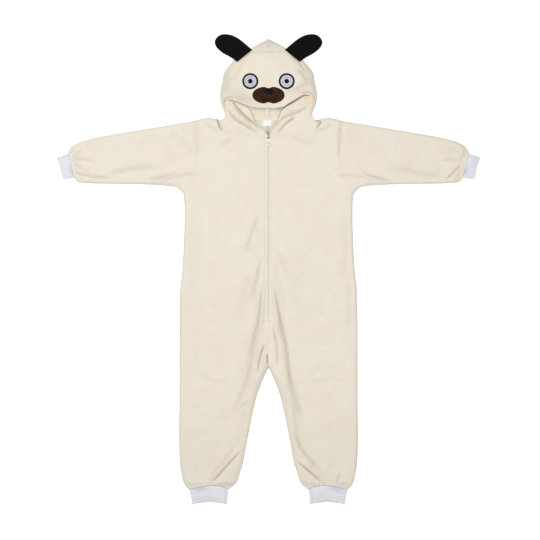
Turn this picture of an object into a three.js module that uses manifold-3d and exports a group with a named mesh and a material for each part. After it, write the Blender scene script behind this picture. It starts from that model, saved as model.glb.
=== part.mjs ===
// A child's hooded pug onesie in cream fleece, laid out flat on its back with the sleeves spread.
// Millimetres, +Z up. The origin is on the surface it lies on, under the middle of its outline.
// +Y runs towards the hood and +X towards the right of someone looking down at the front.
import * as THREE from "three";
import { mergeVertices } from "three/addons/utils/BufferGeometryUtils.js";
import Module from "manifold-3d";

const wasm = await Module();
wasm.setup();

// Cloth
const FLEECE = 2.0;
const RIB_KNIT = 1.8;
const FELT = 1.2;
const SEAM_GAP = 0.3;

// How the flattened tube of the body, legs and sleeves lies
const SEAM_LEVEL = 5.5;
const ROLL_WIDTH = 12;
const ROLL_RISE = 6.5;
const FLAT_TOP = 7.8;
const ROLL_FADE = 60;
const LOWEST_TOP = 2 * FLEECE + 0.6;
const BACK_ROLL = 9;
const CUFF_TOP = 7.4;

// Zip
const ZIP_TOP = 432;
const ZIP_BOTTOM = -167;
const ZIP_EDGE = 1.5;
const SLIDER_BAY = 5.2;
const TAPE = { inner: 2.9, outer: 14.9, low: 4.75, thick: 0.8, top: 431 };
const CHAIN = { half: 2.6, low: 4.2, thick: 1.4 };
const SLIDER = { half: 4.6, low: 418, top: 430, web: 1.6, plate: 1.2, tapeSpace: 1.5, under: 3.2 };
const PULL = { pivotY: 425, pivotZ: 9.2, bar: 0.7, window: 4.8, length: 17, half: 3.2, slot: 1.7 };
const BRIDGE = { half: 1.1, reach: 3.4, top: 2.5, holeReach: 1.6, holeRise: 1.3 };

// The half outline of the body, from the ankle seam up to the underarm.
// inner is the inner leg or the middle line, side the side seam, and fold where the long creases run.
const BODY_ROWS = [
  { y: -727.5, inner: 130.5, side: 262, fold: 190 },
  { y: -717, inner: 118, side: 273, fold: 190 },
  { y: -702, inner: 104, side: 280.5, fold: 190 },
  { y: -676, inner: 95.7, side: 287.1, fold: 184 },
  { y: -640, inner: 84, side: 292, fold: 166 },
  { y: -597, inner: 75.9, side: 294.5, fold: 146 },
  { y: -545, inner: 66, side: 295, fold: 139 },
  { y: -500, inner: 57.5, side: 294.5, fold: 122 },
  { y: -455, inner: 47.5, side: 294, fold: 110 },
  { y: -412, inner: 36.3, side: 293.7, fold: 95 },
  { y: -372, inner: 21.5, side: 293.7, fold: 82 },
  { y: -343, inner: 8.5, side: 293.7, fold: 76 },
  { y: -331, inner: 2.8, side: 293.7, fold: 74 },
  { y: -325, inner: 0, side: 293.7, fold: 73 },
  { y: -318, inner: 0, side: 293.7, fold: 72 },
  { y: -295, inner: 0, side: 293.7, fold: 68 },
  { y: -256, inner: 0, side: 293.7, fold: 61 },
  { y: -215, inner: 0, side: 293.7, fold: 53 },
  { y: -172, inner: 0, side: 293.5, fold: 45 },
  { y: -160, inner: 0, side: 293.3, fold: 44 },
  { y: -110, inner: 0, side: 292.5, fold: 40 },
  { y: -60, inner: 0, side: 290.8, fold: 40 },
  { y: 0, inner: 0, side: 284, fold: 44 },
  { y: 75, inner: 0, side: 280, fold: 58 },
  { y: 140, inner: 0, side: 277.5, fold: 54 },
  { y: 200, inner: 0, side: 277.2, fold: 60 },
  { y: 235, inner: 0, side: 278.8, fold: 80 },
];

// The armhole seam from the underarm to the shoulder tip, with the point of the zip edge or neckline level with it.
// back marks the stations that the flat back layer uses too.
const ARMHOLE_ROWS = [
  { x: 280.2, y: 245.9, innerX: 0, innerY: 246, back: true },
  { x: 277, y: 250.3, innerX: 0, innerY: 251, back: true },
  { x: 270.5, y: 260, innerX: 0, innerY: 261, back: true },
  { x: 261, y: 276, innerX: 0, innerY: 277, back: true },
  { x: 249.2, y: 300.3, innerX: 0, innerY: 303, back: true },
  { x: 244, y: 319, innerX: 0, innerY: 322, back: false },
  { x: 239.3, y: 343.2, innerX: 0, innerY: 345, back: true },
  { x: 234.3, y: 386.1, innerX: 0, innerY: 390, back: true },
  { x: 234.6, y: 403, innerX: 0, innerY: 414, back: false },
  { x: 235.2, y: 419, innerX: 6.2, innerY: 432, back: true },
  { x: 236, y: 433, innerX: 46, innerY: 437, back: false },
  { x: 237, y: 446, innerX: 92, innerY: 444.8, back: false },
  { x: 238, y: 457, innerX: 135, innerY: 450.5, back: true },
  { x: 239, y: 467, innerX: 150, innerY: 456.5, back: false },
  { x: 240, y: 476.5, innerX: 156, innerY: 466, back: true },
  { x: 240.9, y: 484.2, innerX: 157, innerY: 479, back: true },
  { x: 241.5, y: 488.4, innerX: 156.4, innerY: 487.5, back: true },
  { x: 241.6, y: 489.7, innerX: 156, innerY: 491, back: true },
];
const SHOULDER_BULGE = 8;
const BACK_NECK = { y: 497, cornerX: 155.3, cornerY: 490.66 };

// Upper and lower outline of a sleeve, from the armhole to the cuff seam.
const SLEEVE_ROWS = [
  { topX: 241.6, topY: 489.7, lowX: 280.2, lowY: 245.9 },
  { topX: 262, topY: 486, lowX: 288.5, lowY: 257.5 },
  { topX: 284, topY: 482.2, lowX: 303, lowY: 269 },
  { topX: 320, topY: 476.1, lowX: 333, lowY: 274.6 },
  { topX: 384, topY: 465.3, lowX: 390, lowY: 278.2 },
  { topX: 463.7, topY: 452.1, lowX: 470, lowY: 280.5 },
  { topX: 535, topY: 440.1, lowX: 532, lowY: 281.3 },
  { topX: 590, topY: 428.4, lowX: 582, lowY: 282.4 },
  { topX: 626, topY: 417.3, lowX: 612, lowY: 284 },
  { topX: 650, topY: 403, lowX: 631, lowY: 287.8 },
  { topX: 662.5, topY: 385, lowX: 639.5, lowY: 298 },
];

// Ribbed cuffs, between the seam end and the free end.
const WRIST = { seam: [[661.9, 381], [640.4, 299.9]], end: [[698, 369.6], [677.5, 297]], ribs: 16 };
const ANKLE = { seam: [[132, -727.95], [260.5, -727.95]], end: [[136.8, -775.5], [252, -775.5]], ribs: 25 };
const CUFF_LEVEL = 3.5;
const RIB_HEIGHT = 0.7;

// The half outline of the hood from the neck notch up to its peak.
const HOOD_OUTLINE = [
  [155.65, 491], [147.5, 500], [145, 512], [150.5, 529], [157, 546], [160, 571], [157.5, 597], [151.5, 622],
  [149, 640], [139.5, 660], [124.5, 677], [112, 690], [86, 709.5], [58, 728], [28, 745.5], [0.15, 760],
];
const OPENING_LEVEL = [157, 546];
const EAR_TOP = [58, 728];

// Where the face panel is sewn to the hood sides, as half widths to the left and right of the view.
const FACE_SEAM = [
  { left: 146, leftY: 553, right: 147, rightY: 566 },
  { left: 151, leftY: 563, right: 151, rightY: 575 },
  { left: 153.5, leftY: 580, right: 151.5, rightY: 590 },
  { left: 150, leftY: 605, right: 146, rightY: 610 },
  { left: 141.5, leftY: 632, right: 134.5, rightY: 634 },
  { left: 127, leftY: 657, right: 119, rightY: 657 },
  { left: 105, leftY: 681, right: 102, rightY: 681 },
  { left: 80, leftY: 700, right: 78, rightY: 701 },
  { left: 55, leftY: 719.4, right: 54, rightY: 719.4 },
];
const FACE_TOP = 719.4;

// The hem of the face panel over the opening, from the left corner to the right one.
const FACE_HEM = [
  [-145.3, 553.9], [-133, 560.3], [-117.5, 557.7], [-94, 549.5], [-69.3, 540.5], [-44.6, 534.6], [-6, 533],
  [32.3, 534.3], [51.8, 538], [66, 547.5], [87.5, 560.5], [109.6, 572.9], [121, 577], [134.3, 575], [146.2, 567],
];

// The edge of the hood's loose cheeks round the opening, as half widths, from the corner down to the top of the zip.
const CHEEK_EDGE = {
  left: [[133, 555.5], [117, 552.5], [94, 543.5], [72, 533.5], [59, 515], [46, 488], [24, 462], [9.5, 445], [6.8, 437]],
  right: [[135, 569], [119, 568], [89, 549], [60, 533], [45, 519], [37, 498], [19, 466], [9.5, 445], [6.8, 437]],
};
const HOOD_CROWN = 23;
const HOOD_ROLL = 13;
const HOOD_RISE = 9.75;

// The long soft folds: the line each one follows, its width, how far its raised side stands up and how deep the crease is.
// raised is 1 where the cloth on the left of that line stands up, and -1 where the right does.
const FOLDS = [
  { line: [[-19, 186], [-50, 142], [-66, 100], [-79, 34]], width: 17, rise: 3.6, raised: -1, depth: 1.6 },
  { line: [[-21, 43], [-39, -23], [-61, -129]], width: 17, rise: 4, raised: -1, depth: 2 },
  {
    line: [[-19, -36], [-39, -168], [-61, -256], [-80, -357], [-122, -475], [-146, -540]],
    width: 20, rise: 6.5, raised: 1, depth: 2.4,
  },
  { line: [[40, 60], [62, -6], [82, -75]], width: 17, rise: 3.6, raised: 1, depth: 1.8 },
  {
    line: [[25, -32], [45, -181], [62, -256], [77, -357], [103, -457], [131, -552]],
    width: 20, rise: 6.5, raised: -1, depth: 2.4,
  },
  { line: [[-100, -556], [-127, -597], [-176, -655], [-217, -692]], width: 20, rise: 5.5, raised: 1, depth: 2.2 },
  { line: [[-104, -612], [-145, -660], [-187, -710]], width: 12, rise: 4, raised: -1, depth: 1.6 },
  { line: [[76, -500], [108, -579], [149, -633], [194, -674]], width: 20, rise: 5.5, raised: -1, depth: 2.2 },
  { line: [[100, -640], [140, -676], [178, -710]], width: 12, rise: 4, raised: 1, depth: 1.6 },
  { line: [[-556, 308], [-507, 317], [-408, 330], [-340, 333]], width: 17, rise: 4, raised: 1, depth: 2 },
  { line: [[-408, 296], [-342, 309], [-285, 324]], width: 14, rise: 3.4, raised: -1, depth: 1.8 },
  { line: [[380, 331], [458, 322], [510, 309], [590, 300]], width: 17, rise: 4, raised: 1, depth: 2 },
  { line: [[311, 318], [356, 306], [410, 292]], width: 14, rise: 3.4, raised: -1, depth: 1.8 },
  { line: [[-358, 416], [-292, 366]], width: 16, rise: 2.2, raised: -1, depth: 1.2 },
  { line: [[383, 419], [311, 382]], width: 16, rise: 2.2, raised: 1, depth: 1.2 },
  { line: [[-164, 402], [-110, 425]], width: 16, rise: 2.4, raised: 1, depth: 1.2 },
  { line: [[63, 433], [159, 406]], width: 16, rise: 2.4, raised: 1, depth: 1.2 },
];

// The rolls of loose cloth round the opening of the hood.
const HOOD_FOLDS = [
  { line: [[-133, 553], [-105, 533], [-70, 498], [-40, 470]], width: 15, rise: 7, raised: -1, depth: 3.5 },
  { line: [[-140, 530], [-113, 494], [-80, 472], [-40, 449]], width: 13, rise: 6, raised: 1, depth: 2.5 },
  { line: [[140, 536], [98, 514], [57, 497], [20, 462]], width: 14, rise: 6, raised: -1, depth: 2.5 },
  { line: [[100, 502], [72, 487], [44, 461], [28, 444]], width: 12, rise: 5, raised: -1, depth: 2.5 },
  { line: [[96, 668], [122, 636], [138, 610]], width: 15, rise: 3.2, raised: -1, depth: 1.6 },
  { line: [[-100, 668], [-120, 636], [-134, 606]], width: 15, rise: 2.6, raised: 1, depth: 1.4 },
];

// Appliqué face, ears and label
const ON_CLOTH = 0.45;
const EYE = { x: 60, y: 619, rim: 26.5, white: 20.5, pupil: 12 };
const MUZZLE = { y: 573, halfWidth: 53, halfHeight: 29, rimThick: 1.4, swell: 5 };
const NOSE = { y: 585, halfWidth: 16, halfHeight: 9.5, thick: 4 };
const MOUTH = { line: [[-27, 566], [-15, 556.5], [0, 563], [15, 556.5], [27, 566]], half: 1.2, thick: 0.7 };
const EAR_OUTLINE = [
  [53.8, 722.5], [71, 738], [97, 759], [120.5, 771.5], [145, 775.5], [163, 771], [174.5, 759], [177.5, 746],
  [170.5, 730.5], [152, 713.5], [127, 699.5], [112, 689.5], [103.5, 682.5],
];
const EAR = { rimThick: 1.2, swell: 4.5, clear: 0.7, droop: 0.13 };
const LABEL = { x: -3.5, y: 482.5, width: 28, height: 22, thick: 0.8 };

const lerp = (a, b, t) => a + (b - a) * t;
const clamp01 = (t) => Math.min(1, Math.max(0, t));
function smooth(from, to, value) {
  const t = clamp01((value - from) / (to - from));
  return t * t * (3 - 2 * t);
}

// Points evenly spread along a smooth curve through the given ones.
function spline(points, pieces) {
  const curve = new THREE.SplineCurve(points.map(([x, y]) => new THREE.Vector2(x, y)));
  return curve.getSpacedPoints(pieces).map((p) => [p.x, p.y]);
}

// A line of points moved to its left by a distance.
function offsetLine(points, distance) {
  return points.map(([x, y], i) => {
    const [ax, ay] = points[Math.max(0, i - 1)];
    const [bx, by] = points[Math.min(points.length - 1, i + 1)];
    const length = Math.hypot(bx - ax, by - ay);
    return [x - ((by - ay) / length) * distance, y + ((bx - ax) / length) * distance];
  });
}

// The nearest point of a line of points: its distance, the unit vector away from it, the side of the line
// (1 on the left) and the share along it. Within half a millimetre a point counts as on the line.
function nearest(line, x, y) {
  let best = { distance: Infinity };
  for (let i = 0; i + 1 < line.length; i += 1) {
    const [ax, ay] = line[i];
    const dx = line[i + 1][0] - ax;
    const dy = line[i + 1][1] - ay;
    const length = Math.hypot(dx, dy);
    const t = clamp01(((x - ax) * dx + (y - ay) * dy) / (length * length));
    const offX = x - ax - dx * t;
    const offY = y - ay - dy * t;
    const distance = Math.hypot(offX, offY);
    if (distance >= best.distance - 1e-9) continue;
    const off = distance > 0.5;
    best = {
      distance,
      off,
      side: dx * offY - dy * offX >= 0 ? 1 : -1,
      inX: off ? offX / distance : -dy / length,
      inY: off ? offY / distance : dx / length,
      share: (i + t) / (line.length - 1),
    };
  }
  return best.off ? best : { ...best, distance: 0 };
}

// How a table of folds lifts and sinks the cloth at a point: a crease with a roll beside it that dies away.
function foldLift(folds, x, y) {
  let lift = 0;
  for (const fold of folds) {
    const near = nearest(fold.line, x, y);
    if (near.distance > 5 * fold.width) continue;
    const ends = smooth(0, 0.25, near.share) * smooth(1, 0.75, near.share);
    const across = (near.distance / fold.width) * near.side * fold.raised;
    const roll = across > 0 ? fold.rise * across * Math.exp(1 - across) * smooth(5, 3, across) : 0;
    lift += ends * (roll - fold.depth * Math.exp(-((2 * across) ** 2)));
  }
  return lift;
}
const smoothLines = (folds) => folds.map((fold) => ({ ...fold, line: spline(fold.line, 12) }));
const BODY_FOLDS = smoothLines(FOLDS);
const OPENING_FOLDS = smoothLines(HOOD_FOLDS);

// Height of a rolled edge above its seam, and its slope, at a distance in from the outline.
function rolledEdge(distance, width, rise, settled) {
  if (distance < width) {
    const t = 1 - distance / width;
    const round = Math.sqrt(Math.max(0, 1 - t * t));
    return { height: rise * round, slope: (rise * t) / (width * Math.max(0.01, round)) };
  }
  const t = clamp01((distance - width) / ROLL_FADE);
  return { height: lerp(rise, settled, t * t * (3 - 2 * t)), slope: ((settled - rise) * 6 * t * (1 - t)) / ROLL_FADE };
}

// The outline of the right half in stretches with the cloth on their left.
const innerLeg = BODY_ROWS.filter((row) => row.y <= -325).reverse().map((row) => [row.inner, row.y]);
const sideAndSleeve = [
  ...BODY_ROWS.map((row) => [row.side, row.y]),
  ...SLEEVE_ROWS.map((row) => [row.lowX, row.lowY]),
];
const shoulderTip = ARMHOLE_ROWS.at(-1);
const underarm = ARMHOLE_ROWS[0];
const shoulderPoint = (t) => [
  lerp(shoulderTip.x, shoulderTip.innerX, t),
  lerp(shoulderTip.y, shoulderTip.innerY, t) + SHOULDER_BULGE * Math.sin(Math.PI * t),
];
const topLine = [
  ...SLEEVE_ROWS.map((row) => [row.topX, row.topY]).reverse(),
  ...[0.15, 0.3, 0.5, 0.7, 0.85, 1].map(shoulderPoint),
];
function nearestOutline(x, y) {
  return [innerLeg, sideAndSleeve, topLine]
    .map((line) => nearest(line, x, y))
    .reduce((a, b) => (b.distance < a.distance ? b : a));
}

// How close a point is to the seam of a cuff: 1 at the seam, 0 well away from it.
const sleeveEnd = SLEEVE_ROWS.at(-1);
function towardsCuff(x, y) {
  const dx = sleeveEnd.topX - sleeveEnd.lowX;
  const dy = sleeveEnd.topY - sleeveEnd.lowY;
  const toWrist = ((sleeveEnd.topX - x) * dy - (sleeveEnd.topY - y) * dx) / Math.hypot(dx, dy);
  return smooth(26, 2, Math.min(toWrist, y - BODY_ROWS[0].y));
}

function normalOf(slopeX, slopeY) {
  return new THREE.Vector3(-slopeX, -slopeY, 1).normalize();
}
function slopesOf(height, x, y) {
  const step = 1.5;
  return [
    (height(x + step, y) - height(x - step, y)) / (2 * step),
    (height(x, y + step) - height(x, y - step)) / (2 * step),
  ];
}

// The front layer of the body, legs and sleeves: height of its outer face and the outward normal.
function frontFolds(x, y) {
  const near = nearestOutline(Math.abs(x), y);
  const besideZip = y > ZIP_BOTTOM - 10 ? smooth(15, 32, Math.abs(x)) : smooth(3, 14, Math.abs(x));
  return foldLift(BODY_FOLDS, x, y) * smooth(1, 18, near.distance) * besideZip * (1 - towardsCuff(Math.abs(x), y));
}
function frontSurface(x, y) {
  const flip = x < 0 ? -1 : 1;
  const near = nearestOutline(flip * x, y);
  const atCuff = towardsCuff(flip * x, y);
  const settled = FLAT_TOP - SEAM_LEVEL;
  const edge = rolledEdge(near.distance, ROLL_WIDTH, lerp(ROLL_RISE, settled, atCuff), settled);
  const [slopeX, slopeY] = slopesOf(frontFolds, x, y);
  const z = lerp(SEAM_LEVEL + edge.height, Math.min(SEAM_LEVEL + edge.height, CUFF_TOP), atCuff) + frontFolds(x, y);
  return {
    z: near.distance > 0 ? Math.max(z, Math.min(LOWEST_TOP, SEAM_LEVEL)) : SEAM_LEVEL,
    normal: normalOf(slopeX + edge.slope * near.inX * flip, slopeY + edge.slope * near.inY),
    near,
  };
}

// The back layer, flat on the floor and turned up at the outline to meet the front.
function turnedUp(near, flip, level) {
  if (near.distance >= BACK_ROLL) return { z: 0, normal: new THREE.Vector3(0, 0, -1), near };
  const t = 1 - near.distance / BACK_ROLL;
  const drop = Math.sqrt(Math.max(0, 1 - t * t));
  const slope = (-level * t) / (BACK_ROLL * Math.max(0.01, drop));
  const normal = new THREE.Vector3(slope * near.inX * flip, slope * near.inY, -1).normalize();
  return { z: level * (1 - drop), normal, near };
}
const backSurface = (x, y) => turnedUp(nearestOutline(Math.abs(x), y), Math.sign(x), SEAM_LEVEL - SEAM_GAP);
const sleeveBackSurface = (x, y) => turnedUp(nearestOutline(Math.abs(x), y), Math.sign(x), SEAM_LEVEL);

// The front layer of the hood. Along the neck seam it has the height of the chest, so that the two meet.
const hoodLine = spline(HOOD_OUTLINE, 40);
const neckSeam = ARMHOLE_ROWS.filter((row) => row.innerY >= ZIP_TOP).map((row) => [row.innerX, row.innerY]);
const onNeck = HOOD_OUTLINE[0][1] + 1;
function nearestHood(x, y) {
  const near = nearest(hoodLine, x, y);
  return y < onNeck ? { ...near, inX: -1, inY: 0 } : near;
}
function hoodBody(x, y) {
  const near = nearest(hoodLine, Math.abs(x), y);
  const crown = lerp(HOOD_CROWN, FLAT_TOP + 5, smooth(560, 450, y));
  const dome = (crown - SEAM_LEVEL - HOOD_RISE) * smooth(10, 70, near.distance);
  return dome + foldLift(OPENING_FOLDS, x, y) * smooth(1, 14, near.distance);
}
function hoodSurface(x, y) {
  const flip = x < 0 ? -1 : 1;
  const near = nearestHood(flip * x, y);
  if (near.distance === 0) return { z: SEAM_LEVEL, normal: normalOf(0, 0), near };
  const rise = lerp(HOOD_RISE, ROLL_RISE, smooth(540, 495, y));
  const edge = rolledEdge(near.distance, HOOD_ROLL, rise, rise);
  const [slopeX, slopeY] = slopesOf(hoodBody, x, y);
  const own = {
    z: SEAM_LEVEL + edge.height + hoodBody(x, y),
    normal: normalOf(slopeX + edge.slope * near.inX * flip, slopeY + edge.slope * near.inY),
  };
  const away = y > 520 ? 1 : smooth(0, 24, nearest(neckSeam, flip * x, y).distance);
  if (away === 1) return { ...own, near };
  const chest = frontSurface(x, y);
  return { z: lerp(chest.z, own.z, away), normal: chest.normal.lerp(own.normal, away).normalize(), near };
}
const hoodBackSurface = (x, y) => turnedUp(nearestHood(Math.abs(x), y), Math.sign(x), SEAM_LEVEL);

// A vertex of a cloth wall. On a folded edge the wall's cut face is level, and beside the middle seam it is upright.
function vertexOn(surface, x, y, shiftZ = 0) {
  const { z, normal, near } = surface(x, y);
  const out = near.distance === 0 ? new THREE.Vector3(-near.inX * (x < 0 ? -1 : 1), -near.inY, 0) : normal.clone();
  if (Math.abs(x) < FLEECE) out.x = 0;
  return { point: new THREE.Vector3(x, y, z + shiftZ), normal: out.normalize() };
}

// A closed wall from grids of vertices that share edges: an outer and an inner face, and the rims between them.
function clothWall(grids, thickness) {
  const outer = [];
  const inner = [];
  const known = new Map();
  const indexOf = (vertex) => {
    const key = vertex.point.toArray().map((v) => Math.round(v * 500)).join();
    if (!known.has(key)) {
      known.set(key, outer.length);
      outer.push(vertex.point);
      inner.push(vertex.point.clone().addScaledVector(vertex.normal, -(vertex.thickness ?? thickness)));
    }
    return known.get(key);
  };
  const faces = [];
  for (const grid of grids) {
    const index = grid.map((row) => row.map(indexOf));
    for (let r = 0; r + 1 < index.length; r += 1) {
      for (let c = 0; c + 1 < index[r].length; c += 1) {
        const [a, b, d, e] = [index[r][c], index[r][c + 1], index[r + 1][c], index[r + 1][c + 1]];
        const shortFirst = outer[a].distanceTo(outer[e]) <= outer[b].distanceTo(outer[d]);
        const pair = shortFirst ? [[a, b, e], [a, e, d]] : [[a, b, d], [b, e, d]];
        faces.push(...pair.filter((face) => new Set(face).size === 3));
      }
    }
  }
  const count = outer.length;
  const edges = new Map();
  const closed = faces.flatMap(([a, b, c]) => [a, b, c, a + count, c + count, b + count]);
  for (const [a, b, c] of faces) {
    for (const edge of [[a, b], [b, c], [c, a]]) edges.set(edge.join(":"), edge);
  }
  for (const [p, q] of edges.values()) {
    if (!edges.has(q + ":" + p)) closed.push(q, p, p + count, q, p + count, q + count);
  }
  return solidGeometry([...outer, ...inner], closed);
}

// A geometry from points and triangles, turned so that its faces point out.
function solidGeometry(points, triangles) {
  let volume = 0;
  for (let i = 0; i < triangles.length; i += 3) {
    const [a, b, c] = triangles.slice(i, i + 3).map((k) => points[k]);
    volume += a.clone().cross(b).dot(c);
  }
  const geometry = new THREE.BufferGeometry();
  geometry.setAttribute("position", new THREE.Float32BufferAttribute(points.flatMap((p) => p.toArray()), 3));
  geometry.setIndex(volume < 0 ? [...triangles].reverse() : triangles);
  return geometry;
}

const garment = new THREE.Group();
const paint = {
  fleece: new THREE.MeshStandardMaterial({ color: 0xece1d3, roughness: 0.95, metalness: 0 }),
  rib: new THREE.MeshStandardMaterial({ color: 0xdfdfe6, roughness: 0.9, metalness: 0 }),
  black: new THREE.MeshStandardMaterial({ color: 0x121212, roughness: 0.95, metalness: 0 }),
  brown: new THREE.MeshStandardMaterial({ color: 0x3a271d, roughness: 0.95, metalness: 0 }),
  pale: new THREE.MeshStandardMaterial({ color: 0xc4ccde, roughness: 0.9, metalness: 0 }),
  tape: new THREE.MeshStandardMaterial({ color: 0xe6dfd0, roughness: 0.85, metalness: 0 }),
  enamel: new THREE.MeshStandardMaterial({ color: 0xefede6, roughness: 0.35, metalness: 0.2 }),
  label: new THREE.MeshStandardMaterial({ color: 0xf2f3f3, roughness: 0.7, metalness: 0 }),
};
function addPiece(name, geometry, material) {
  const mesh = new THREE.Mesh(geometry, material);
  mesh.name = name;
  garment.add(mesh);
  return mesh;
}

// The places of the columns along a section, finer near its two edges and round the long crease.
function columnsAcross(from, fold, to) {
  const places = [from, from + 2.5, from + 9, fold - 20, fold - 8, fold, fold + 10];
  for (let i = 1; i < places.length; i += 1) places[i] = Math.max(places[i], places[i - 1] + 2.5);
  const last = places.at(-1);
  return [...places, lerp(last, to, 0.35), lerp(last, to, 0.7), to - 9, to - 2.5, to];
}
const zipEdge = (y) => (y < ZIP_BOTTOM ? SEAM_GAP / 2 : lerp(ZIP_EDGE, SLIDER_BAY, smooth(402, 416, y)));

// One front, from the ankle to the shoulder, as sections between the middle line and the side.
function frontPanel(side) {
  const legRow = (row) => ({ inner: [row.inner || zipEdge(row.y), row.y], outer: [row.side, row.y], fold: row.fold });
  const chestRow = (row) => ({
    inner: [row.innerX || zipEdge(row.innerY), row.innerY],
    outer: [row.x, row.y],
    fold: lerp(95, 195, smooth(40, 150, row.innerX)),
    bulge: SHOULDER_BULGE * smooth(60, 0, shoulderTip.y - row.y),
  });
  const sections = [...BODY_ROWS.map(legRow), ...ARMHOLE_ROWS.map(chestRow)];
  const grid = sections.map(({ inner, outer, fold, bulge = 0 }) =>
    columnsAcross(inner[0], fold, outer[0]).map((x) => {
      const share = (x - inner[0]) / (outer[0] - inner[0]);
      const y = lerp(inner[1], outer[1], share) + bulge * Math.sin(Math.PI * share);
      return vertexOn(frontSurface, side * x, y, SEAM_GAP / 2);
    }),
  );
  return clothWall([grid], FLEECE);
}

// One back, flat on the floor, from the ankle to the shoulder and the back of the neck.
function backPanel(side) {
  const corner = BACK_NECK.cornerX / shoulderTip.x;
  const legRow = (row) => {
    const from = Math.max(row.inner, SEAM_GAP / 2);
    const middle = [0.35, 0.7].map((share) => lerp(from, row.side, share));
    return [from, from + 2, from + 6, ...middle, row.side - 6, row.side - 2, row.side].map((x) => [x, row.y]);
  };
  const shoulderRow = (row) => {
    const rising = (row.y - underarm.y) / (shoulderTip.y - underarm.y);
    const inner = [SEAM_GAP / 2, lerp(underarm.y, BACK_NECK.y, rising)];
    const neck = [lerp(row.x * corner, BACK_NECK.cornerX, rising), lerp(underarm.y, BACK_NECK.cornerY, rising)];
    const bulge = SHOULDER_BULGE * smooth(60, 0, shoulderTip.y - row.y);
    const fromNeck = [0.25, 0.75, 0.93, 0.975, 1].map((share) => [
      lerp(neck[0], row.x, share),
      lerp(neck[1], row.y, share) + bulge * Math.sin(Math.PI * share),
    ]);
    return [inner, [lerp(inner[0], neck[0], 0.5), lerp(inner[1], neck[1], 0.5)], neck, ...fromNeck];
  };
  const legRows = BODY_ROWS.filter((row, i) => i % 2 === 0 || row.y < -640 || Math.abs(row.y + 328) < 8);
  const rows = [...legRows.map(legRow), ...ARMHOLE_ROWS.filter((row) => row.back).map(shoulderRow)];
  return clothWall([rows.map((row) => row.map(([x, y]) => vertexOn(backSurface, side * x, y)))], FLEECE);
}

// A sleeve: one tube round its rolled edges, from the armhole seam to the cuff. The armhole's bow dies away along it.
function sleevePoint(station, row) {
  const share = (shoulderTip.y - row.y) / (shoulderTip.y - underarm.y);
  const { topX, topY, lowX, lowY } = SLEEVE_ROWS[station];
  const bow = row.x - lerp(shoulderTip.x, underarm.x, share);
  const fade = (1 - station / (SLEEVE_ROWS.length - 1)) ** 2.2;
  const seam = station === 0 ? SEAM_GAP + 0.1 : 0;
  return [lerp(topX, lowX, share) + bow * fade + seam, lerp(topY, lowY, share)];
}
function sleeve(side) {
  const backRows = ARMHOLE_ROWS.filter((row) => row.back).slice(1, -1);
  const grid = SLEEVE_ROWS.map((_, station) => {
    const put = (surface) => (row) => {
      const [x, y] = sleevePoint(station, row);
      return vertexOn(surface, side * x, y);
    };
    const front = [...ARMHOLE_ROWS].reverse().map(put(frontSurface));
    return [...front, ...backRows.map(put(sleeveBackSurface)), front[0]];
  });
  return clothWall([grid], FLEECE);
}

// A ribbed cuff: a flattened tube, ribbed on top, plain inside and underneath.
function cuff(side, { seam, end, ribs }) {
  const rings = [0, 1].map((along) => {
    const [fromX, fromY, toX, toY] = [0, 1].flatMap((k) => [0, 1].map((j) => lerp(seam[k][j], end[k][j], along)));
    const half = Math.hypot(toX - fromX, toY - fromY) / 2;
    const unit = [(toX - fromX) / (2 * half), (toY - fromY) / (2 * half)];
    const place = (share, z, out, up, rib) => ({
      point: new THREE.Vector3(
        side * ((fromX + toX) / 2 + unit[0] * share * half),
        (fromY + toY) / 2 + unit[1] * share * half,
        z,
      ),
      normal: new THREE.Vector3(side * unit[0] * out, unit[1] * out, up).normalize(),
      thickness: RIB_KNIT + rib,
    });
    const ring = [];
    for (let i = 0; i <= 2 * ribs; i += 1) {
      const share = i / ribs - 1;
      const rib = i % 2 === 1 ? RIB_HEIGHT : 0;
      const round = Math.sqrt(Math.max(0, 1 - share ** 8));
      ring.push(place(share, CUFF_LEVEL + (CUFF_LEVEL + rib) * round, share ** 7, round, rib));
    }
    for (const share of [0.985, 0.93, 0.5, -0.5, -0.93, -0.985]) {
      const out = Math.max(0, Math.abs(share) - 0.9) / 0.1;
      const round = Math.sqrt(1 - out * out);
      ring.push(place(share, CUFF_LEVEL * (1 - round), Math.sign(share) * out, -round, 0));
    }
    return [...ring, ring[0]];
  });
  return clothWall([rings], RIB_KNIT);
}

// Points of the hood outline between two of its places, in a number of equal steps.
function hoodStretch(from, to, pieces) {
  const indexNear = ([x, y]) => {
    const gaps = hoodLine.map((p) => Math.hypot(p[0] - x, p[1] - y));
    return gaps.indexOf(Math.min(...gaps));
  };
  const [start, end] = [indexNear(from), indexNear(to)];
  return Array.from({ length: pieces + 1 }, (_, i) => hoodLine[Math.round(lerp(start, end, i / pieces))]);
}
const lowHood = hoodStretch(HOOD_OUTLINE[0], OPENING_LEVEL, 3);
const sideHood = hoodStretch(OPENING_LEVEL, EAR_TOP, 9);
const peakHood = hoodStretch(EAR_TOP, HOOD_OUTLINE.at(-1), 3);
const faceSeam = (which) => spline(FACE_SEAM.map((row) => [row[which], row[which + "Y"]]), 9);

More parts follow.
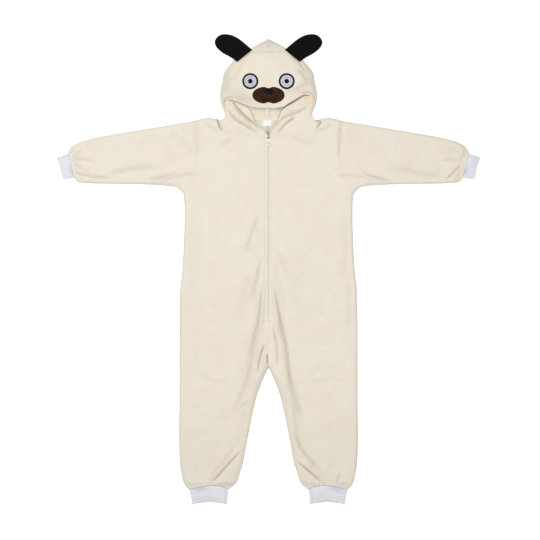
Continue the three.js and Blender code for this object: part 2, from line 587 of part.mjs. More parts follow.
// A hood side. Its back layer lies on the floor, rolls over at the outline and comes forward to the face seam
// above, and below it to the loose edge of the opening and the neck seam.
function hoodSide(side) {
  const which = side > 0 ? "right" : "left";
  const seam = faceSeam(which);
  const halfTop = seam.at(-1)[0];
  const topSeam = [0.65, 0.33].map((share) => [halfTop * share, FACE_TOP]);
  const inner = [...seam, ...topSeam, [SEAM_GAP / 2, FACE_TOP]];
  const outline = [...sideHood, ...peakHood.slice(1)];
  const cheekStarts = [...offsetLine(neckSeam, SEAM_GAP + 0.05).slice(0, -1), ...lowHood];
  const cheekEnds = spline([seam[0], ...CHEEK_EDGE[which]], cheekStarts.length - 1).reverse();
  const shares = [0, 0.06, 0.18, 0.4, 0.6, 0.8, 1];
  const section = (from, to) => shares.map((share) => {
    const [x, y] = [lerp(from[0], to[0], share), lerp(from[1], to[1], share)];
    return vertexOn(hoodSurface, side * x, y);
  });
  const cheekRows = cheekStarts.map((from, i) => section(from, cheekEnds[i]));
  const stripRows = outline.map((from, i) => section(from, inner[i]));
  const backOutline = [...lowHood.slice(0, -1), ...outline];
  const backRows = backOutline.map(([x, y], i) => {
    const startY = lerp(BACK_NECK.y + SEAM_GAP + 0.05, y, i / (backOutline.length - 1));
    return [0, 0.4, 0.75, 0.93, 0.975, 1].map((share) =>
      vertexOn(hoodBackSurface, side * lerp(SEAM_GAP / 2, x, share), lerp(startY, y, share)),
    );
  });
  return clothWall([cheekRows, stripRows, backRows], FLEECE);
}

// The face panel, spanned between its hem, its top seam and the two side seams.
function hoodFace() {
  const across = 12;
  const [left, right] = ["left", "right"].map((which) => offsetLine(faceSeam(which), SEAM_GAP + 0.05));
  const hem = spline(FACE_HEM, across);
  const leftSide = [hem[0], ...left.slice(1).map(([x, y]) => [-x, y])];
  const rightSide = [hem.at(-1), ...right.slice(1)];
  const [topLeft, topRight] = [leftSide.at(-1), rightSide.at(-1)].map(([x]) => [x, FACE_TOP - SEAM_GAP - 0.05]);
  leftSide[leftSide.length - 1] = topLeft;
  rightSide[rightSide.length - 1] = topRight;
  const grid = leftSide.map((_, r) => {
    const v = r / (leftSide.length - 1);
    return hem.map((_, c) => {
      const u = c / across;
      const [x, y] = [0, 1].map((k) =>
        lerp(hem[c][k], lerp(topLeft[k], topRight[k], u), v)
        + lerp(leftSide[r][k], rightSide[r][k], u)
        - lerp(lerp(hem[0][k], hem.at(-1)[k], u), lerp(topLeft[k], topRight[k], u), v));
      return vertexOn(hoodSurface, x, y);
    });
  });
  return clothWall([grid], FLEECE);
}

// A flat or padded shape sewn on, from rings round its middle. under is the height it lies on.
function applique(middle, outlineAt, rings, segments, under, thickAt) {
  const grid = rings.map((ring) =>
    Array.from({ length: segments + 1 }, (_, i) => {
      const [dx, dy] = outlineAt((2 * Math.PI * (i % segments)) / segments);
      const [x, y] = [middle[0] + ring * dx, middle[1] + ring * dy];
      const thickness = thickAt(ring, x - middle[0]);
      return { point: new THREE.Vector3(x, y, under(x, y) + thickness), normal: normalOf(0, 0), thickness };
    }),
  );
  return clothWall([grid], FELT);
}
const circle = (radius) => (angle) => [radius * Math.cos(angle), radius * Math.sin(angle)];
const onFace = (lift) => (x, y) => hoodSurface(x, y).z + ON_CLOTH + lift;

function eye(side, name) {
  const middle = [side * EYE.x, EYE.y];
  const rings = [0, 0.55, 1];
  const step = FELT + 0.3;
  addPiece("eye_rim_" + name, applique(middle, circle(EYE.rim), rings, 16, onFace(0), () => FELT), paint.black);
  addPiece("eye_white_" + name, applique(middle, circle(EYE.white), rings, 16, onFace(step), () => FELT), paint.pale);
  const swell = (ring) => FELT + 1.2 * (1 - ring * ring);
  addPiece("eye_pupil_" + name, applique(middle, circle(EYE.pupil), rings, 14, onFace(2 * step), swell), paint.black);
}

// The muzzle has two padded lobes with a dip between them. The nose and mouth lie on it.
const lobed = (x) => 1 - 0.2 * Math.exp(-((x / 11) ** 2));
const muzzleOutline = (angle) => {
  const x = MUZZLE.halfWidth * Math.cos(angle);
  return [x, MUZZLE.halfHeight * lobed(x) * Math.sign(Math.sin(angle)) * Math.abs(Math.sin(angle)) ** 0.9];
};
function muzzleRing(x, y) {
  let [low, high] = [Math.abs(x) / MUZZLE.halfWidth, 1.2];
  for (let i = 0; i < 20; i += 1) {
    const ring = (low + high) / 2;
    const across = Math.min(1, Math.abs(x) / (ring * MUZZLE.halfWidth));
    const reach = ring * MUZZLE.halfHeight * lobed(x / ring) * (1 - across * across) ** 0.45;
    if (reach > Math.abs(y)) high = ring;
    else low = ring;
  }
  return high;
}
function muzzleThick(ring, x) {
  const dip = 0.35 * Math.exp(-((x / 8) ** 2));
  return MUZZLE.rimThick + MUZZLE.swell * Math.max(0, 1 - ring * ring) ** 0.7 * (1 - dip);
}
function muzzleTop(x, y) {
  const ring = muzzleRing(x, y - MUZZLE.y);
  return onFace(0)(x, y) + MUZZLE.rimThick + MUZZLE.swell * Math.max(0, 1 - ring * ring) ** 0.7;
}
function nose() {
  const outlineAt = (angle) => {
    const wider = 1 + 0.22 * Math.sin(angle);
    return [NOSE.halfWidth * wider * Math.cos(angle), NOSE.halfHeight * Math.sin(angle)];
  };
  const thickAt = (ring) => 1.2 + (NOSE.thick - 1.2) * (1 - ring * ring);
  const under = (x, y) => muzzleTop(x, y) + 0.35;
  return applique([0, NOSE.y], outlineAt, [0, 0.6, 1], 16, under, thickAt);
}
function mouth() {
  const line = spline(MOUTH.line, 16);
  const edges = [offsetLine(line, MOUTH.half), offsetLine(line, -MOUTH.half)];
  const grid = line.map((_, i) =>
    edges.map((edge) => ({
      point: new THREE.Vector3(...edge[i], muzzleTop(...edge[i]) + 0.4 + MOUTH.thick),
      normal: normalOf(0, 0),
    })),
  );
  return clothWall([grid], MOUTH.thick);
}

// An ear: sewn into the face seam, over the hood side, and drooping outwards past the edge of the hood.
function ear(side) {
  const outline = spline(EAR_OUTLINE, 18);
  const [first, last] = [outline[0], outline.at(-1)];
  const under = (x, y) => {
    const near = nearest(hoodLine, x, y);
    const inside = near.distance * near.side;
    const drooping = SEAM_LEVEL + HOOD_RISE + EAR.clear - EAR.droop * Math.max(0, HOOD_ROLL - inside);
    return inside > 2 ? Math.max(drooping, hoodSurface(side * x, y).z + EAR.clear) : drooping;
  };
  const grid = outline.map(([endX, endY], i) => {
    const along = i / (outline.length - 1);
    return [0, 0.3, 0.6, 0.85, 1].map((share) => {
      const x = lerp(lerp(first[0], last[0], along), endX, share);
      const y = lerp(lerp(first[1], last[1], along), endY, share);
      const thickness = EAR.rimThick + EAR.swell * smooth(0, 16, nearest(outline, x, y).distance);
      return { point: new THREE.Vector3(side * x, y, under(x, y) + thickness), normal: normalOf(0, 0), thickness };
    });
  });
  return clothWall([grid], FELT);
}

// A plate with sharp edges, by its lowest corner and its size.
function plate(lowX, lowY, lowZ, sizeX, sizeY, sizeZ) {
  return new THREE.BoxGeometry(sizeX, sizeY, sizeZ).translate(lowX + sizeX / 2, lowY + sizeY / 2, lowZ + sizeZ / 2);
}
function toSolid(geometry) {
  const bare = geometry.clone();
  bare.deleteAttribute("normal");
  bare.deleteAttribute("uv");
  const merged = mergeVertices(bare, 1e-4);
  const triVerts = new Uint32Array(merged.index.array);
  return new wasm.Manifold(new wasm.Mesh({ numProp: 3, vertProperties: merged.attributes.position.array, triVerts }));
}
function joined(geometries) {
  const mesh = geometries.map(toSolid).reduce((whole, solid) => whole.add(solid)).getMesh();
  const geometry = new THREE.BufferGeometry();
  geometry.setAttribute("position", new THREE.Float32BufferAttribute(mesh.vertProperties, 3));
  geometry.setIndex([...mesh.triVerts]);
  return geometry;
}
function polygon(points) {
  return points.map(([x, y]) => new THREE.Vector2(x, y));
}

// The slider: two plates joined by a web, with the bridge for the pull on top.
function slider() {
  const { half, low, top, web, plate: thick, tapeSpace, under } = SLIDER;
  const upper = under + thick + tapeSpace;
  const bridge = new THREE.Shape(polygon([
    [-BRIDGE.reach, upper + 0.4 - PULL.pivotZ], [BRIDGE.reach, upper + 0.4 - PULL.pivotZ],
    [BRIDGE.reach, BRIDGE.top - 1.2], [BRIDGE.reach - 1.2, BRIDGE.top],
    [1.2 - BRIDGE.reach, BRIDGE.top], [-BRIDGE.reach, BRIDGE.top - 1.2],
  ]));
  bridge.holes.push(new THREE.Path(polygon([
    [-BRIDGE.holeReach, -BRIDGE.holeRise], [-BRIDGE.holeReach, BRIDGE.holeRise],
    [BRIDGE.holeReach, BRIDGE.holeRise], [BRIDGE.holeReach, -BRIDGE.holeRise],
  ])));
  const arch = new THREE.ExtrudeGeometry(bridge, { depth: 2 * BRIDGE.half, bevelEnabled: false });
  arch.rotateX(Math.PI / 2).rotateZ(Math.PI / 2).translate(-BRIDGE.half, PULL.pivotY, PULL.pivotZ);
  return joined([
    plate(-half, low, under, 2 * half, top - low, thick),
    plate(-web, low + 1, under + thick - 0.2, 2 * web, top - low - 2, tapeSpace + 0.4),
    plate(-half, low, upper, 2 * half, top - low, thick),
    arch,
  ]);
}

// The pull tab: a plate with a window, whose top bar sits in the bridge of the slider.
function pullTab() {
  const { pivotY, pivotZ, bar, window, length, half, slot } = PULL;
  const outline = [[-half, bar], [half, bar], [half, -window - 1], [2.6, -length + 2], [1.2, -length], [-1.2, -length]];
  const shape = new THREE.Shape(polygon([...outline, [-2.6, -length + 2], [-half, -window - 1]]));
  shape.holes.push(new THREE.Path(polygon([[-slot, -bar], [-slot, -window], [slot, -window], [slot, -bar]])));
  const geometry = new THREE.ExtrudeGeometry(shape, { depth: 2 * bar, bevelEnabled: false });
  return joined([geometry.translate(0, pivotY, pivotZ - bar)]);
}

for (const [side, name] of [[-1, "left"], [1, "right"]]) {
  addPiece("front_" + name, frontPanel(side), paint.fleece);
  addPiece("back_" + name, backPanel(side), paint.fleece);
  addPiece("sleeve_" + name, sleeve(side), paint.fleece);
  addPiece("cuff_wrist_" + name, cuff(side, WRIST), paint.rib);
  addPiece("cuff_ankle_" + name, cuff(side, ANKLE), paint.rib);
  addPiece("hood_side_" + name, hoodSide(side), paint.fleece);
  addPiece("ear_" + name, ear(side), paint.black);
  eye(side, name);
  const tapeLow = side > 0 ? TAPE.inner : -TAPE.outer;
  const tapeFrom = ZIP_BOTTOM - 5;
  const tape = plate(tapeLow, tapeFrom, TAPE.low, TAPE.outer - TAPE.inner, TAPE.top - tapeFrom, TAPE.thick);
  addPiece("zip_tape_" + name, tape, paint.tape);
}
addPiece("hood_face", hoodFace(), paint.fleece);
addPiece(
  "muzzle",
  applique([0, MUZZLE.y], muzzleOutline, [0, 0.3, 0.6, 0.85, 1], 24, onFace(0), muzzleThick),
  paint.brown,
);
addPiece("nose", nose(), paint.black);
addPiece("mouth", mouth(), paint.black);
const chainLength = SLIDER.low - 0.3 - ZIP_BOTTOM;
addPiece(
  "zip_chain",
  plate(-CHAIN.half, ZIP_BOTTOM, CHAIN.low, 2 * CHAIN.half, chainLength, CHAIN.thick),
  paint.tape,
);
addPiece("zip_slider", slider(), paint.enamel);
addPiece("zip_pull", pullTab(), paint.enamel);
addPiece(
  "label",
  plate(LABEL.x - LABEL.width / 2, LABEL.y - LABEL.height / 2, FLEECE + 0.3, LABEL.width, LABEL.height, LABEL.thick),
  paint.label,
);

export default garment;
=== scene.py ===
import bpy
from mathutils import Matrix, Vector
import numpy as np


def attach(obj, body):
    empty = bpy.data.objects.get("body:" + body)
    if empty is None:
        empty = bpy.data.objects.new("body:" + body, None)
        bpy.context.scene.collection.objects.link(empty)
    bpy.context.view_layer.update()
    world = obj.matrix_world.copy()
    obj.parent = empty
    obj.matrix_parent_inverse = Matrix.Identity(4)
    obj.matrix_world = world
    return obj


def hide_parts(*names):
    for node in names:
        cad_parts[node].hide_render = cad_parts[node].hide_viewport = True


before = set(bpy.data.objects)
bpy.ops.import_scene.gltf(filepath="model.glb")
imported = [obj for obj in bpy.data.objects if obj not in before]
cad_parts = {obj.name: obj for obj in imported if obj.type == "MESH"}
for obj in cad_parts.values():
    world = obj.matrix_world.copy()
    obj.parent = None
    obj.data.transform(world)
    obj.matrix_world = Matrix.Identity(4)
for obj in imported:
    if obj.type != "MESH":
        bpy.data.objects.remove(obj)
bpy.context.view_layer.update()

# A child's hooded pug onesie in cream fleece, laid out flat on its back on a white table.
# Sizes are in millimetres and become metres where a mesh is made. Left and right are those of the view
# from above, with -X on the left and the hood at +Y.
MM = 0.001
SIDES = {-1: "left", 1: "right"}

# Cloth and how the flattened tube of the body, legs and sleeves lies. The seams along the outline lie at
# SEAM_LEVEL. The front layer rolls up beside them over ROLL_WIDTH and settles to FLAT_TOP over ROLL_FADE,
# and the back layer turns up to them within BACK_ROLL.
FLEECE = 2.0
RIB_KNIT = 1.8
SEAM_GAP = 0.3
HALF_GAP = SEAM_GAP / 2
SEAM_LEVEL = 5.5
ROLL_WIDTH = 12
ROLL_RISE = 6.5
FLAT_TOP = 7.8
ROLL_FADE = 60
LOWEST_TOP = 4.6
BACK_ROLL = 9
CUFF_TOP = 7.4
HEM_ROUND = 2.6
FACE_HEM_ROUND = 3.0
HEM_DEPTH = 14
HEM_CLEAR = 4

# Zip
ZIP_TOP = 432
ZIP_BOTTOM = -167
ZIP_EDGE = 1.5
SLIDER_BAY = 5.2
TOPSTITCH = 10
TOOTH_PITCH = 2.0
STITCH = {"length": 2.6, "gap": 0.9, "half": 0.35}
ZIP_TAPE = {"inner": 2.4, "outer": 14.9, "top": 431, "level": 5.3}
TAPE_THICK = 0.8
TOOTH = {"reach": 0.4, "length": 2.6, "half": 0.85, "low": 4.3, "high": 6.7}
SLIDER = {"half": 4.6, "low": 418, "top": 430, "lower": (3.2, 4.4), "upper": (5.9, 7.1), "web": 1.6}
BRIDGE = {"half": 1.1, "reach": 3.4, "top": 11.5, "thick": 0.9}
PULL = {"pivot_y": 425, "pivot_z": 9.2, "length": 17, "half": 3.9, "wire": 0.85, "plate_from": 11.5}

# Half outline of the body from the ankle seam up to the underarm: y, inner leg or middle, side seam
BODY_ROWS = np.array([
    (-727.5, 130.5, 262), (-717, 118, 273), (-702, 104, 280.5), (-676, 95.7, 287.1), (-640, 84, 292),
    (-597, 75.9, 294.5), (-545, 66, 295), (-500, 57.5, 294.5), (-455, 47.5, 294), (-412, 36.3, 293.7),
    (-372, 21.5, 293.7), (-343, 8.5, 293.7), (-331, 2.8, 293.7), (-325, 0, 293.7), (-318, 0, 293.7),
    (-295, 0, 293.7), (-256, 0, 293.7), (-215, 0, 293.7), (-172, 0, 293.5), (-160, 0, 293.3),
    (-110, 0, 292.5), (-60, 0, 290.8), (0, 0, 284), (75, 0, 280), (140, 0, 277.5), (200, 0, 277.2),
    (235, 0, 278.8),
])
ANKLE_SEAM_Y = BODY_ROWS[0, 0]
CROTCH_Y = -325

# Armhole seam from the underarm to the shoulder tip: x, y and the point of the zip edge or neckline that
# lies level with it
ARMHOLE_ROWS = np.array([
    (280.2, 245.9, 0, 246), (277, 250.3, 0, 251), (270.5, 260, 0, 261), (261, 276, 0, 277),
    (249.2, 300.3, 0, 303), (244, 319, 0, 322), (239.3, 343.2, 0, 345), (234.3, 386.1, 0, 390),
    (234.6, 403, 0, 414), (235.2, 419, 6.2, 432), (236, 433, 46, 437), (237, 446, 92, 444.8),
    (238, 457, 135, 450.5), (239, 467, 150, 456.5), (240, 476.5, 156, 466), (240.9, 484.2, 157, 479),
    (241.5, 488.4, 156.4, 487.5), (241.6, 489.7, 156, 491),
])
UNDERARM_Y = ARMHOLE_ROWS[0, 1]
SHOULDER_BULGE = 8
BACK_NECK = {"y": 497, "corner_x": 155.3, "corner_y": 490.66}

# Upper and lower outline of a sleeve from the armhole to the cuff seam: upper x, upper y, lower x, lower y
SLEEVE_ROWS = np.array([
    (241.6, 489.7, 280.2, 245.9), (262, 486, 288.5, 257.5), (284, 482.2, 303, 269),
    (320, 476.1, 333, 274.6), (384, 465.3, 390, 278.2), (463.7, 452.1, 470, 280.5),
    (535, 440.1, 532, 281.3), (590, 428.4, 582, 282.4), (626, 417.3, 612, 284), (650, 403, 631, 287.8),
    (662.5, 385, 639.5, 298),
])

# Ribbed cuffs between the seam end and the free end. bow is how far the front layer's free edge arcs back.
WRIST = {
    "seam": [(661.9, 381), (640.4, 299.9)], "end": [(698, 369.6), (677.5, 297)],
    "ribs": 16, "bow": 2,
}
ANKLE = {
    "seam": [(132, -727.95), (260.5, -727.95)], "end": [(136.8, -775.5), (252, -775.5)],
    "ribs": 25, "bow": 12,
}
CUFF_LEVEL = 3.5
RIB_HEIGHT = 0.7

# Half outline of the hood from the neck notch up to its peak
HOOD_OUTLINE = [
    (155.65, 491), (147.5, 500), (145, 512), (150.5, 529), (157, 546), (160, 571), (157.5, 597),
    (151.5, 622), (149, 640), (139.5, 660), (124.5, 677), (112, 690), (86, 709.5), (58, 728), (28, 745.5),
    (0.15, 760),
]
OPENING_LEVEL = (157, 546)
EAR_TOP = (58, 728)
HOOD_CROWN = 23
HOOD_ROLL = 13
HOOD_RISE = 9.75

# Where the face panel is sewn to the hood sides, as half widths with their heights
FACE_SEAM = {
    "left": [
        (146, 553), (151, 563), (153.5, 580), (150, 605), (141.5, 632), (127, 657), (105, 681), (80, 700),
        (55, 719.4),
    ],
    "right": [
        (147, 566), (151, 575), (151.5, 590), (146, 610), (134.5, 634), (119, 657), (102, 681), (78, 701),
        (54, 719.4),
    ],
}
FACE_TOP = 719.4
FACE_HEM = [
    (-145.3, 553.9), (-133, 560.3), (-117.5, 557.7), (-94, 549.5), (-69.3, 540.5), (-44.6, 534.6),
    (-6, 533), (32.3, 534.3), (51.8, 538), (66, 547.5), (87.5, 560.5), (109.6, 572.9), (121, 577),
    (134.3, 575), (146.2, 567),
]
CHEEK_EDGE = {
    "left": [
        (133, 555.5), (117, 552.5), (94, 543.5), (72, 533.5), (59, 515), (46, 488), (24, 462), (8, 446),
        (2.4, 436),
    ],
    "right": [
        (135, 569), (119, 568), (89, 549), (60, 533), (45, 519), (37, 498), (19, 466), (8, 446),
        (2.4, 436),
    ],
}


# Folds
def fold(line, width, rise, raised, depth, core=0, core_to=1, thin=2.9, warm=0):
    """A fold of the cloth. line is the path of its crease, width how far its roll spreads and rise how high
    the roll stands. raised is 1 where the cloth on the left of the line stands up and -1 where the right
    does, and depth is how deep the crease is. core is how dark the line of painted shade in its bottom is,
    up to 1, core_to the share of the line after which it has gone, thin the half width of that line, and
    warm how far painted light glows beside it."""
    return {
        "line": line, "width": width, "rise": rise, "raised": raised, "depth": depth,
        "core": core, "core_to": core_to, "thin": thin, "warm": warm,
    }


LONG_FOLDS = [
    fold([(-15, 182), (-42, 142), (-57, 100), (-72, 34)], 15, 3.6, -1, 1.4),
    fold([(-18, 48), (-32, -20), (-55, -125)], 16, 4, -1, 1.8),
    fold([(-19, -36), (-36, -168), (-57, -256), (-78, -357), (-122, -475), (-146, -540)], 20, 6.5, 1, 2.4),
    fold([(28, 70), (47, 6), (70, -66)], 15, 3.4, 1, 1.4),
    fold([(25, -32), (45, -181), (62, -256), (77, -357), (103, -457), (131, -552)], 20, 6.5, -1, 2.4),
    fold([(-100, -556), (-127, -597), (-176, -655), (-217, -692)], 20, 5.5, 1, 2.2),
    fold([(-104, -612), (-145, -660), (-187, -710)], 12, 4, -1, 1.6),
    fold([(76, -500), (108, -579), (149, -633), (194, -674)], 20, 5.5, -1, 2.2),
    fold([(100, -640), (140, -676), (178, -710)], 12, 4, 1, 1.6),
    fold([(-556, 308), (-507, 317), (-408, 330), (-340, 333)], 17, 4, 1, 2),
    fold([(-408, 296), (-342, 309), (-285, 324)], 14, 3.4, -1, 1.8),
    fold([(380, 331), (458, 322), (510, 309), (590, 300)], 17, 4, 1, 2),
    fold([(311, 318), (356, 306), (410, 292)], 14, 3.4, -1, 1.8),
    fold([(-358, 416), (-292, 366)], 16, 2.2, -1, 1.2),
    fold([(383, 419), (311, 382)], 16, 2.2, 1, 1.2),
    fold([(-164, 402), (-110, 425)], 16, 2.4, 1, 1.2),
    fold([(63, 433), (159, 406)], 16, 2.4, 1, 1.2),
]
OPENING_FOLDS = [
    fold([(-133, 553), (-105, 533), (-70, 498), (-40, 470)], 15, 7, -1, 1.6),
    fold([(-140, 530), (-113, 494), (-80, 472), (-40, 449)], 13, 6, 1, 1.4),
    fold([(140, 536), (98, 514), (57, 497), (20, 462)], 14, 6, -1, 1.4),
    fold([(100, 502), (72, 487), (44, 461), (28, 444)], 12, 5, -1, 1.4),
    fold([(96, 668), (122, 636), (138, 610)], 15, 3.2, -1, 2.2),
    fold([(-100, 668), (-120, 636), (-134, 606)], 15, 2.6, 1, 2),
]

# Short creases between the long folds
FINE_CREASES = [
    fold([(-19, -30), (-26, -93), (-36, -168), (-57, -256), (-77, -356), (-96, -410)],
         12, 1.6, 1, 2.1, core=0.4, core_to=0.8, thin=2.4, warm=0.3),
    fold([(25, -26), (27, -102), (45, -181), (62, -256), (75, -357), (92, -410)],
         12, 1.6, -1, 1.9, core=0.34, core_to=0.8, thin=2.4, warm=0.3),
    fold([(7, -172), (16, -200), (28, -256), (31, -330)], 7, 1.6, -1, 1.8, core=0.3, thin=2, warm=0.7),
    fold([(-9, -243), (-25, -278), (-34, -318), (-37, -352)], 6, 1.6, 1, 2.4, core=0.9, thin=1.7, warm=1),
    fold([(-4, -276), (-4, -322)], 4, 0.8, 1, 2.4, core=1, thin=1.5),
    fold([(22, 30), (33, -30), (51, -104), (64, -150)], 14, 1.4, -1, 1.0),
    fold([(14, 20), (20, -60), (22, -140)], 8, 1, -1, 0.9),
    fold([(-12, 20), (-17, -60), (-16, -140)], 8, 1, 1, 0.9),
    fold([(-31, 150), (-46, 85), (-54, 20)], 12, 1.4, 1, 1.0),
    fold([(-50, 0), (-72, -90), (-96, -190)], 26, 1.6, -1, 0.8),
    fold([(60, 20), (84, -70), (104, -170)], 26, 1.6, 1, 0.8),
    fold([(251, 190), (256, 47), (245, -60)], 20, 1.8, -1, 1),
    fold([(269, -20), (270, -225)], 16, 1.6, -1, 1),
    fold([(-250, 180), (-262, 30), (-255, -100)], 20, 1.6, 1, 0.7),
    fold([(-73, -400), (-100, -556), (-127, -597), (-176, -655), (-222, -700)], 12, 1.2, 1, 1.4, warm=0.2),
    fold([(-88, -590), (-101, -612), (-145, -660), (-192, -714)],
         6, 2.2, -1, 1.8, core=0.3, thin=2, warm=0.8),
    fold([(90, -625), (100, -640), (140, -676), (184, -716)], 6, 2.4, 1, 2, core=0.35, thin=2, warm=1),
    fold([(76, -400), (108, -579), (149, -633), (200, -682)], 12, 1.2, -1, 1.4, warm=0.2),
    fold([(-230, -362), (-180, -372), (-130, -378)], 12, 1, 1, 0.5),
    fold([(130, -378), (180, -372), (225, -362)], 12, 1, 1, 0.5),
    fold([(-60, -430), (-84, -452), (-116, -478)], 10, 1.4, -1, 0.9),
    fold([(42, -418), (66, -448), (96, -474)], 10, 1.4, 1, 0.9),
    fold([(275, -440), (275, -660)], 16, 1.4, 1, 0.8),
    fold([(238, -668), (228, -690), (221, -716)], 5, 1.4, 1, 1.4, core=0.3),
    fold([(-214, -660), (-232, -690), (-244, -714)], 8, 1.4, 1, 1.1, warm=0.5),
    fold([(-330, 466), (-285, 430), (-240, 388)], 14, 1.6, -1, 0.9),
    fold([(-362, 284), (-305, 305), (-262, 311), (-220, 308)], 10, 1.8, 1, 1.3, core=0.12),
    fold([(-420, 292), (-342, 309), (-275, 326)], 10, 1, -1, 1, core=0.08),
    fold([(312, 476), (290, 445), (270, 408)], 14, 1.6, 1, 0.9),
    fold([(222, 304), (262, 308), (305, 303), (352, 286)], 10, 1.8, 1, 1.3, core=0.12),
    fold([(295, 322), (356, 306), (426, 288)], 10, 1, -1, 1, core=0.08),
    fold([(-650, 322), (-620, 311), (-570, 302), (-500, 300)], 9, 2.2, 1, 1.6, core=0.12),
    fold([(-644, 350), (-620, 330), (-592, 308)], 7, 3.2, 1, 1, warm=0.7),
    fold([(-646, 366), (-614, 360), (-570, 356)], 9, 1.8, 1, 1, core=0.1),
    fold([(-612, 398), (-634, 378), (-650, 364)], 8, 1.6, 1, 1, core=0.1),
    fold([(582, 292), (612, 318), (638, 350)], 8, 3, 1, 1.1, core=0.15, warm=0.7),
    fold([(598, 402), (624, 384), (646, 362)], 8, 1.8, 1, 1, core=0.1, warm=0.4),
    fold([(570, 358), (606, 358), (640, 354)], 9, 1.8, 1, 1, core=0.08),
    fold([(-174, 502), (-167, 486), (-160, 466), (-148, 448)],
         7, 1.8, 1, 2.4, core=0.9, core_to=0.9, thin=2.2),
    fold([(150, 490), (172, 486), (165, 472), (156, 458)], 7, 2, -1, 2, core=0.75, thin=2.2, warm=0.4),
    fold([(-150, 446), (-185, 460), (-215, 480)], 14, 1.8, -1, 1.2),
    fold([(150, 446), (190, 462), (218, 482)], 14, 1.8, 1, 1.2),
    fold([(-245, 520), (-243, 440), (-234, 360)], 11, 1.4, 1, 1.5),
    fold([(248, 520), (240, 440), (233, 360)], 11, 1.4, -1, 1.5),
]
OPENING_CREASES = [
    fold([(-125, 560), (-94, 525), (-67, 497), (-45, 481), (-22, 456)],
         6, 2.2, -1, 1.8, core=0.75, thin=1.9, warm=1),
    fold([(-140, 534), (-113, 494), (-80, 473), (-40, 448), (-26, 440)], 9, 1, 1, 1.6, core=0.2, warm=0.6),
    fold([(134, 534), (98, 514), (57, 497), (32, 478), (12, 448)], 10, 1.4, -1, 1.2, warm=0.4),
    fold([(90, 500), (74, 492), (58, 478), (42, 458), (28, 436)],
         7, 1.4, -1, 1.8, core=0.55, core_to=0.5, thin=2.4, warm=0.9),
    fold([(-112, 562), (-124, 566), (-138, 562), (-146, 550), (-143, 536), (-136, 524)],
         6, 2.4, -1, 2, core=0.45, thin=2.4),
    fold([(106, 576), (124, 583), (140, 579), (149, 566), (147, 552), (138, 538)],
         6, 2.4, 1, 2, core=0.45, thin=2.4),
    fold([(70, 708), (92, 690), (112, 664), (132, 638)], 9, 1.2, 1, 2.2, core=0.45, thin=2.2, warm=0.7),
    fold([(112, 680), (128, 660), (140, 636)], 8, 1.2, 1, 2, core=0.4, thin=2.2),
    fold([(-104, 684), (-124, 660), (-140, 630)], 14, 1.4, -1, 1.8),
    fold([(-74, 700), (-92, 664), (-118, 624)], 14, 1.4, -1, 1.9, warm=0.8),
    fold([(-150, 596), (-120, 588), (-84, 572), (-52, 552)], 16, 2, 1, 1.8),
    fold([(56, 566), (84, 586), (118, 598), (146, 592)], 16, 2, 1, 1.4),
]

# Hollows that a corner or a fold presses into the hood: middle, half length and half width, turn in degrees,
# depth, how far painted light glows in them and how dark their painted shade is
HOOD_DENTS = [
    ((-133, 550), (12, 10), 0, 2.6, 1.0, 0.3),
    ((133, 562), (11, 14), 0, 2.6, 1.0, 0.2),
    ((-88, 561), (44, 17), -20, 1.2, 0, 0.95),
    ((100, 586), (30, 11), 18, 1.0, 0, 0.6),
    ((-90, 538), (32, 7), -38, 0.4, 0.4, 0),
    ((60, 508), (26, 10), 50, 0.6, 0.5, 0),
    ((-60, 500), (30, 7), -45, 0.6, 0, 0.55),
    ((28, 472), (26, 6), 62, 0.6, 0, 0.5),
    ((-144, 612), (24, 62), -6, 0.6, 0, 0.85),
    ((142, 622), (20, 56), 8, 0.6, 0, 0.75),
    ((0, 744), (70, 20), 0, 0, 0, 0.8),
]

# Appliqué face, ears and label
ON_CLOTH = 0.3
FELT = 1.2
FELT_STEP = 1.4
EYE = {"x": 60, "y": 619, "rim": 26.5, "white": 20.5, "pupil": 7.5}
MUZZLE = {"y": 573, "half_width": 53, "half_height": 29, "rim": 1.4, "swell": 5}
NOSE = {"y": 585, "half_width": 16, "half_height": 9.5, "thick": 4}
MOUTH = {"line": [(-27, 566), (-15, 556.5), (0, 563), (15, 556.5), (27, 566)], "half": 1.2}
EAR_OUTLINE = [
    (53.8, 722.5), (71, 738), (97, 759), (120.5, 771.5), (145, 775.5), (163, 771), (174.5, 759),
    (177.5, 746), (170.5, 730.5), (152, 713.5), (127, 699.5), (112, 689.5), (103.5, 682.5),
]
EAR = {"rim": 1.2, "swell": 4.5, "clear": 0.7, "droop": 0.13}
LABEL = {"x": -3.5, "y": 482.5, "width": 28, "height": 22, "thick": 0.5, "lift": 1.0, "curl": 1.6}


# Curves and distances
AT_A_TIME = 4000
FOLD_POINTS = 36


def lerp(a, b, t):
    """The point the share t of the way from a to b."""
    return a + (b - a) * t


def smooth(start, end, value):
    """Goes from 0 at start to 1 at end, level at both: 3 t squared less 2 t cubed."""
    t = np.clip((value - start) / (end - start), 0, 1)
    return t * t * (3 - 2 * t)


def bell(value):
    """A bell curve, 1 at 0: e^(-value squared)."""
    return np.exp(-(value ** 2))


def squared_off(value, power):
    """A sine or cosine raised to a power below 1 with its sign kept, which squares off a round outline."""
    return np.sign(value) * np.abs(value) ** power


def through(points, places):
    """A smooth curve through points, at places counted in points from the first. Each stretch is the cubic
    whose slope at a point is half the step between that point's neighbours."""
    p = np.asarray(points, float)
    last = len(p) - 1
    place = np.clip(places, 0, last)
    i = np.minimum(place.astype(int), last - 1)
    t = (place - i)[:, None]
    before, a, b, after = p[np.maximum(i - 1, 0)], p[i], p[i + 1], p[np.minimum(i + 2, last)]
    at_a = (b - before) / 2
    at_b = (after - a) / 2
    return (2 * a - 2 * b + at_a + at_b) * t ** 3 + (3 * b - 3 * a - 2 * at_a - at_b) * t ** 2 + at_a * t + a


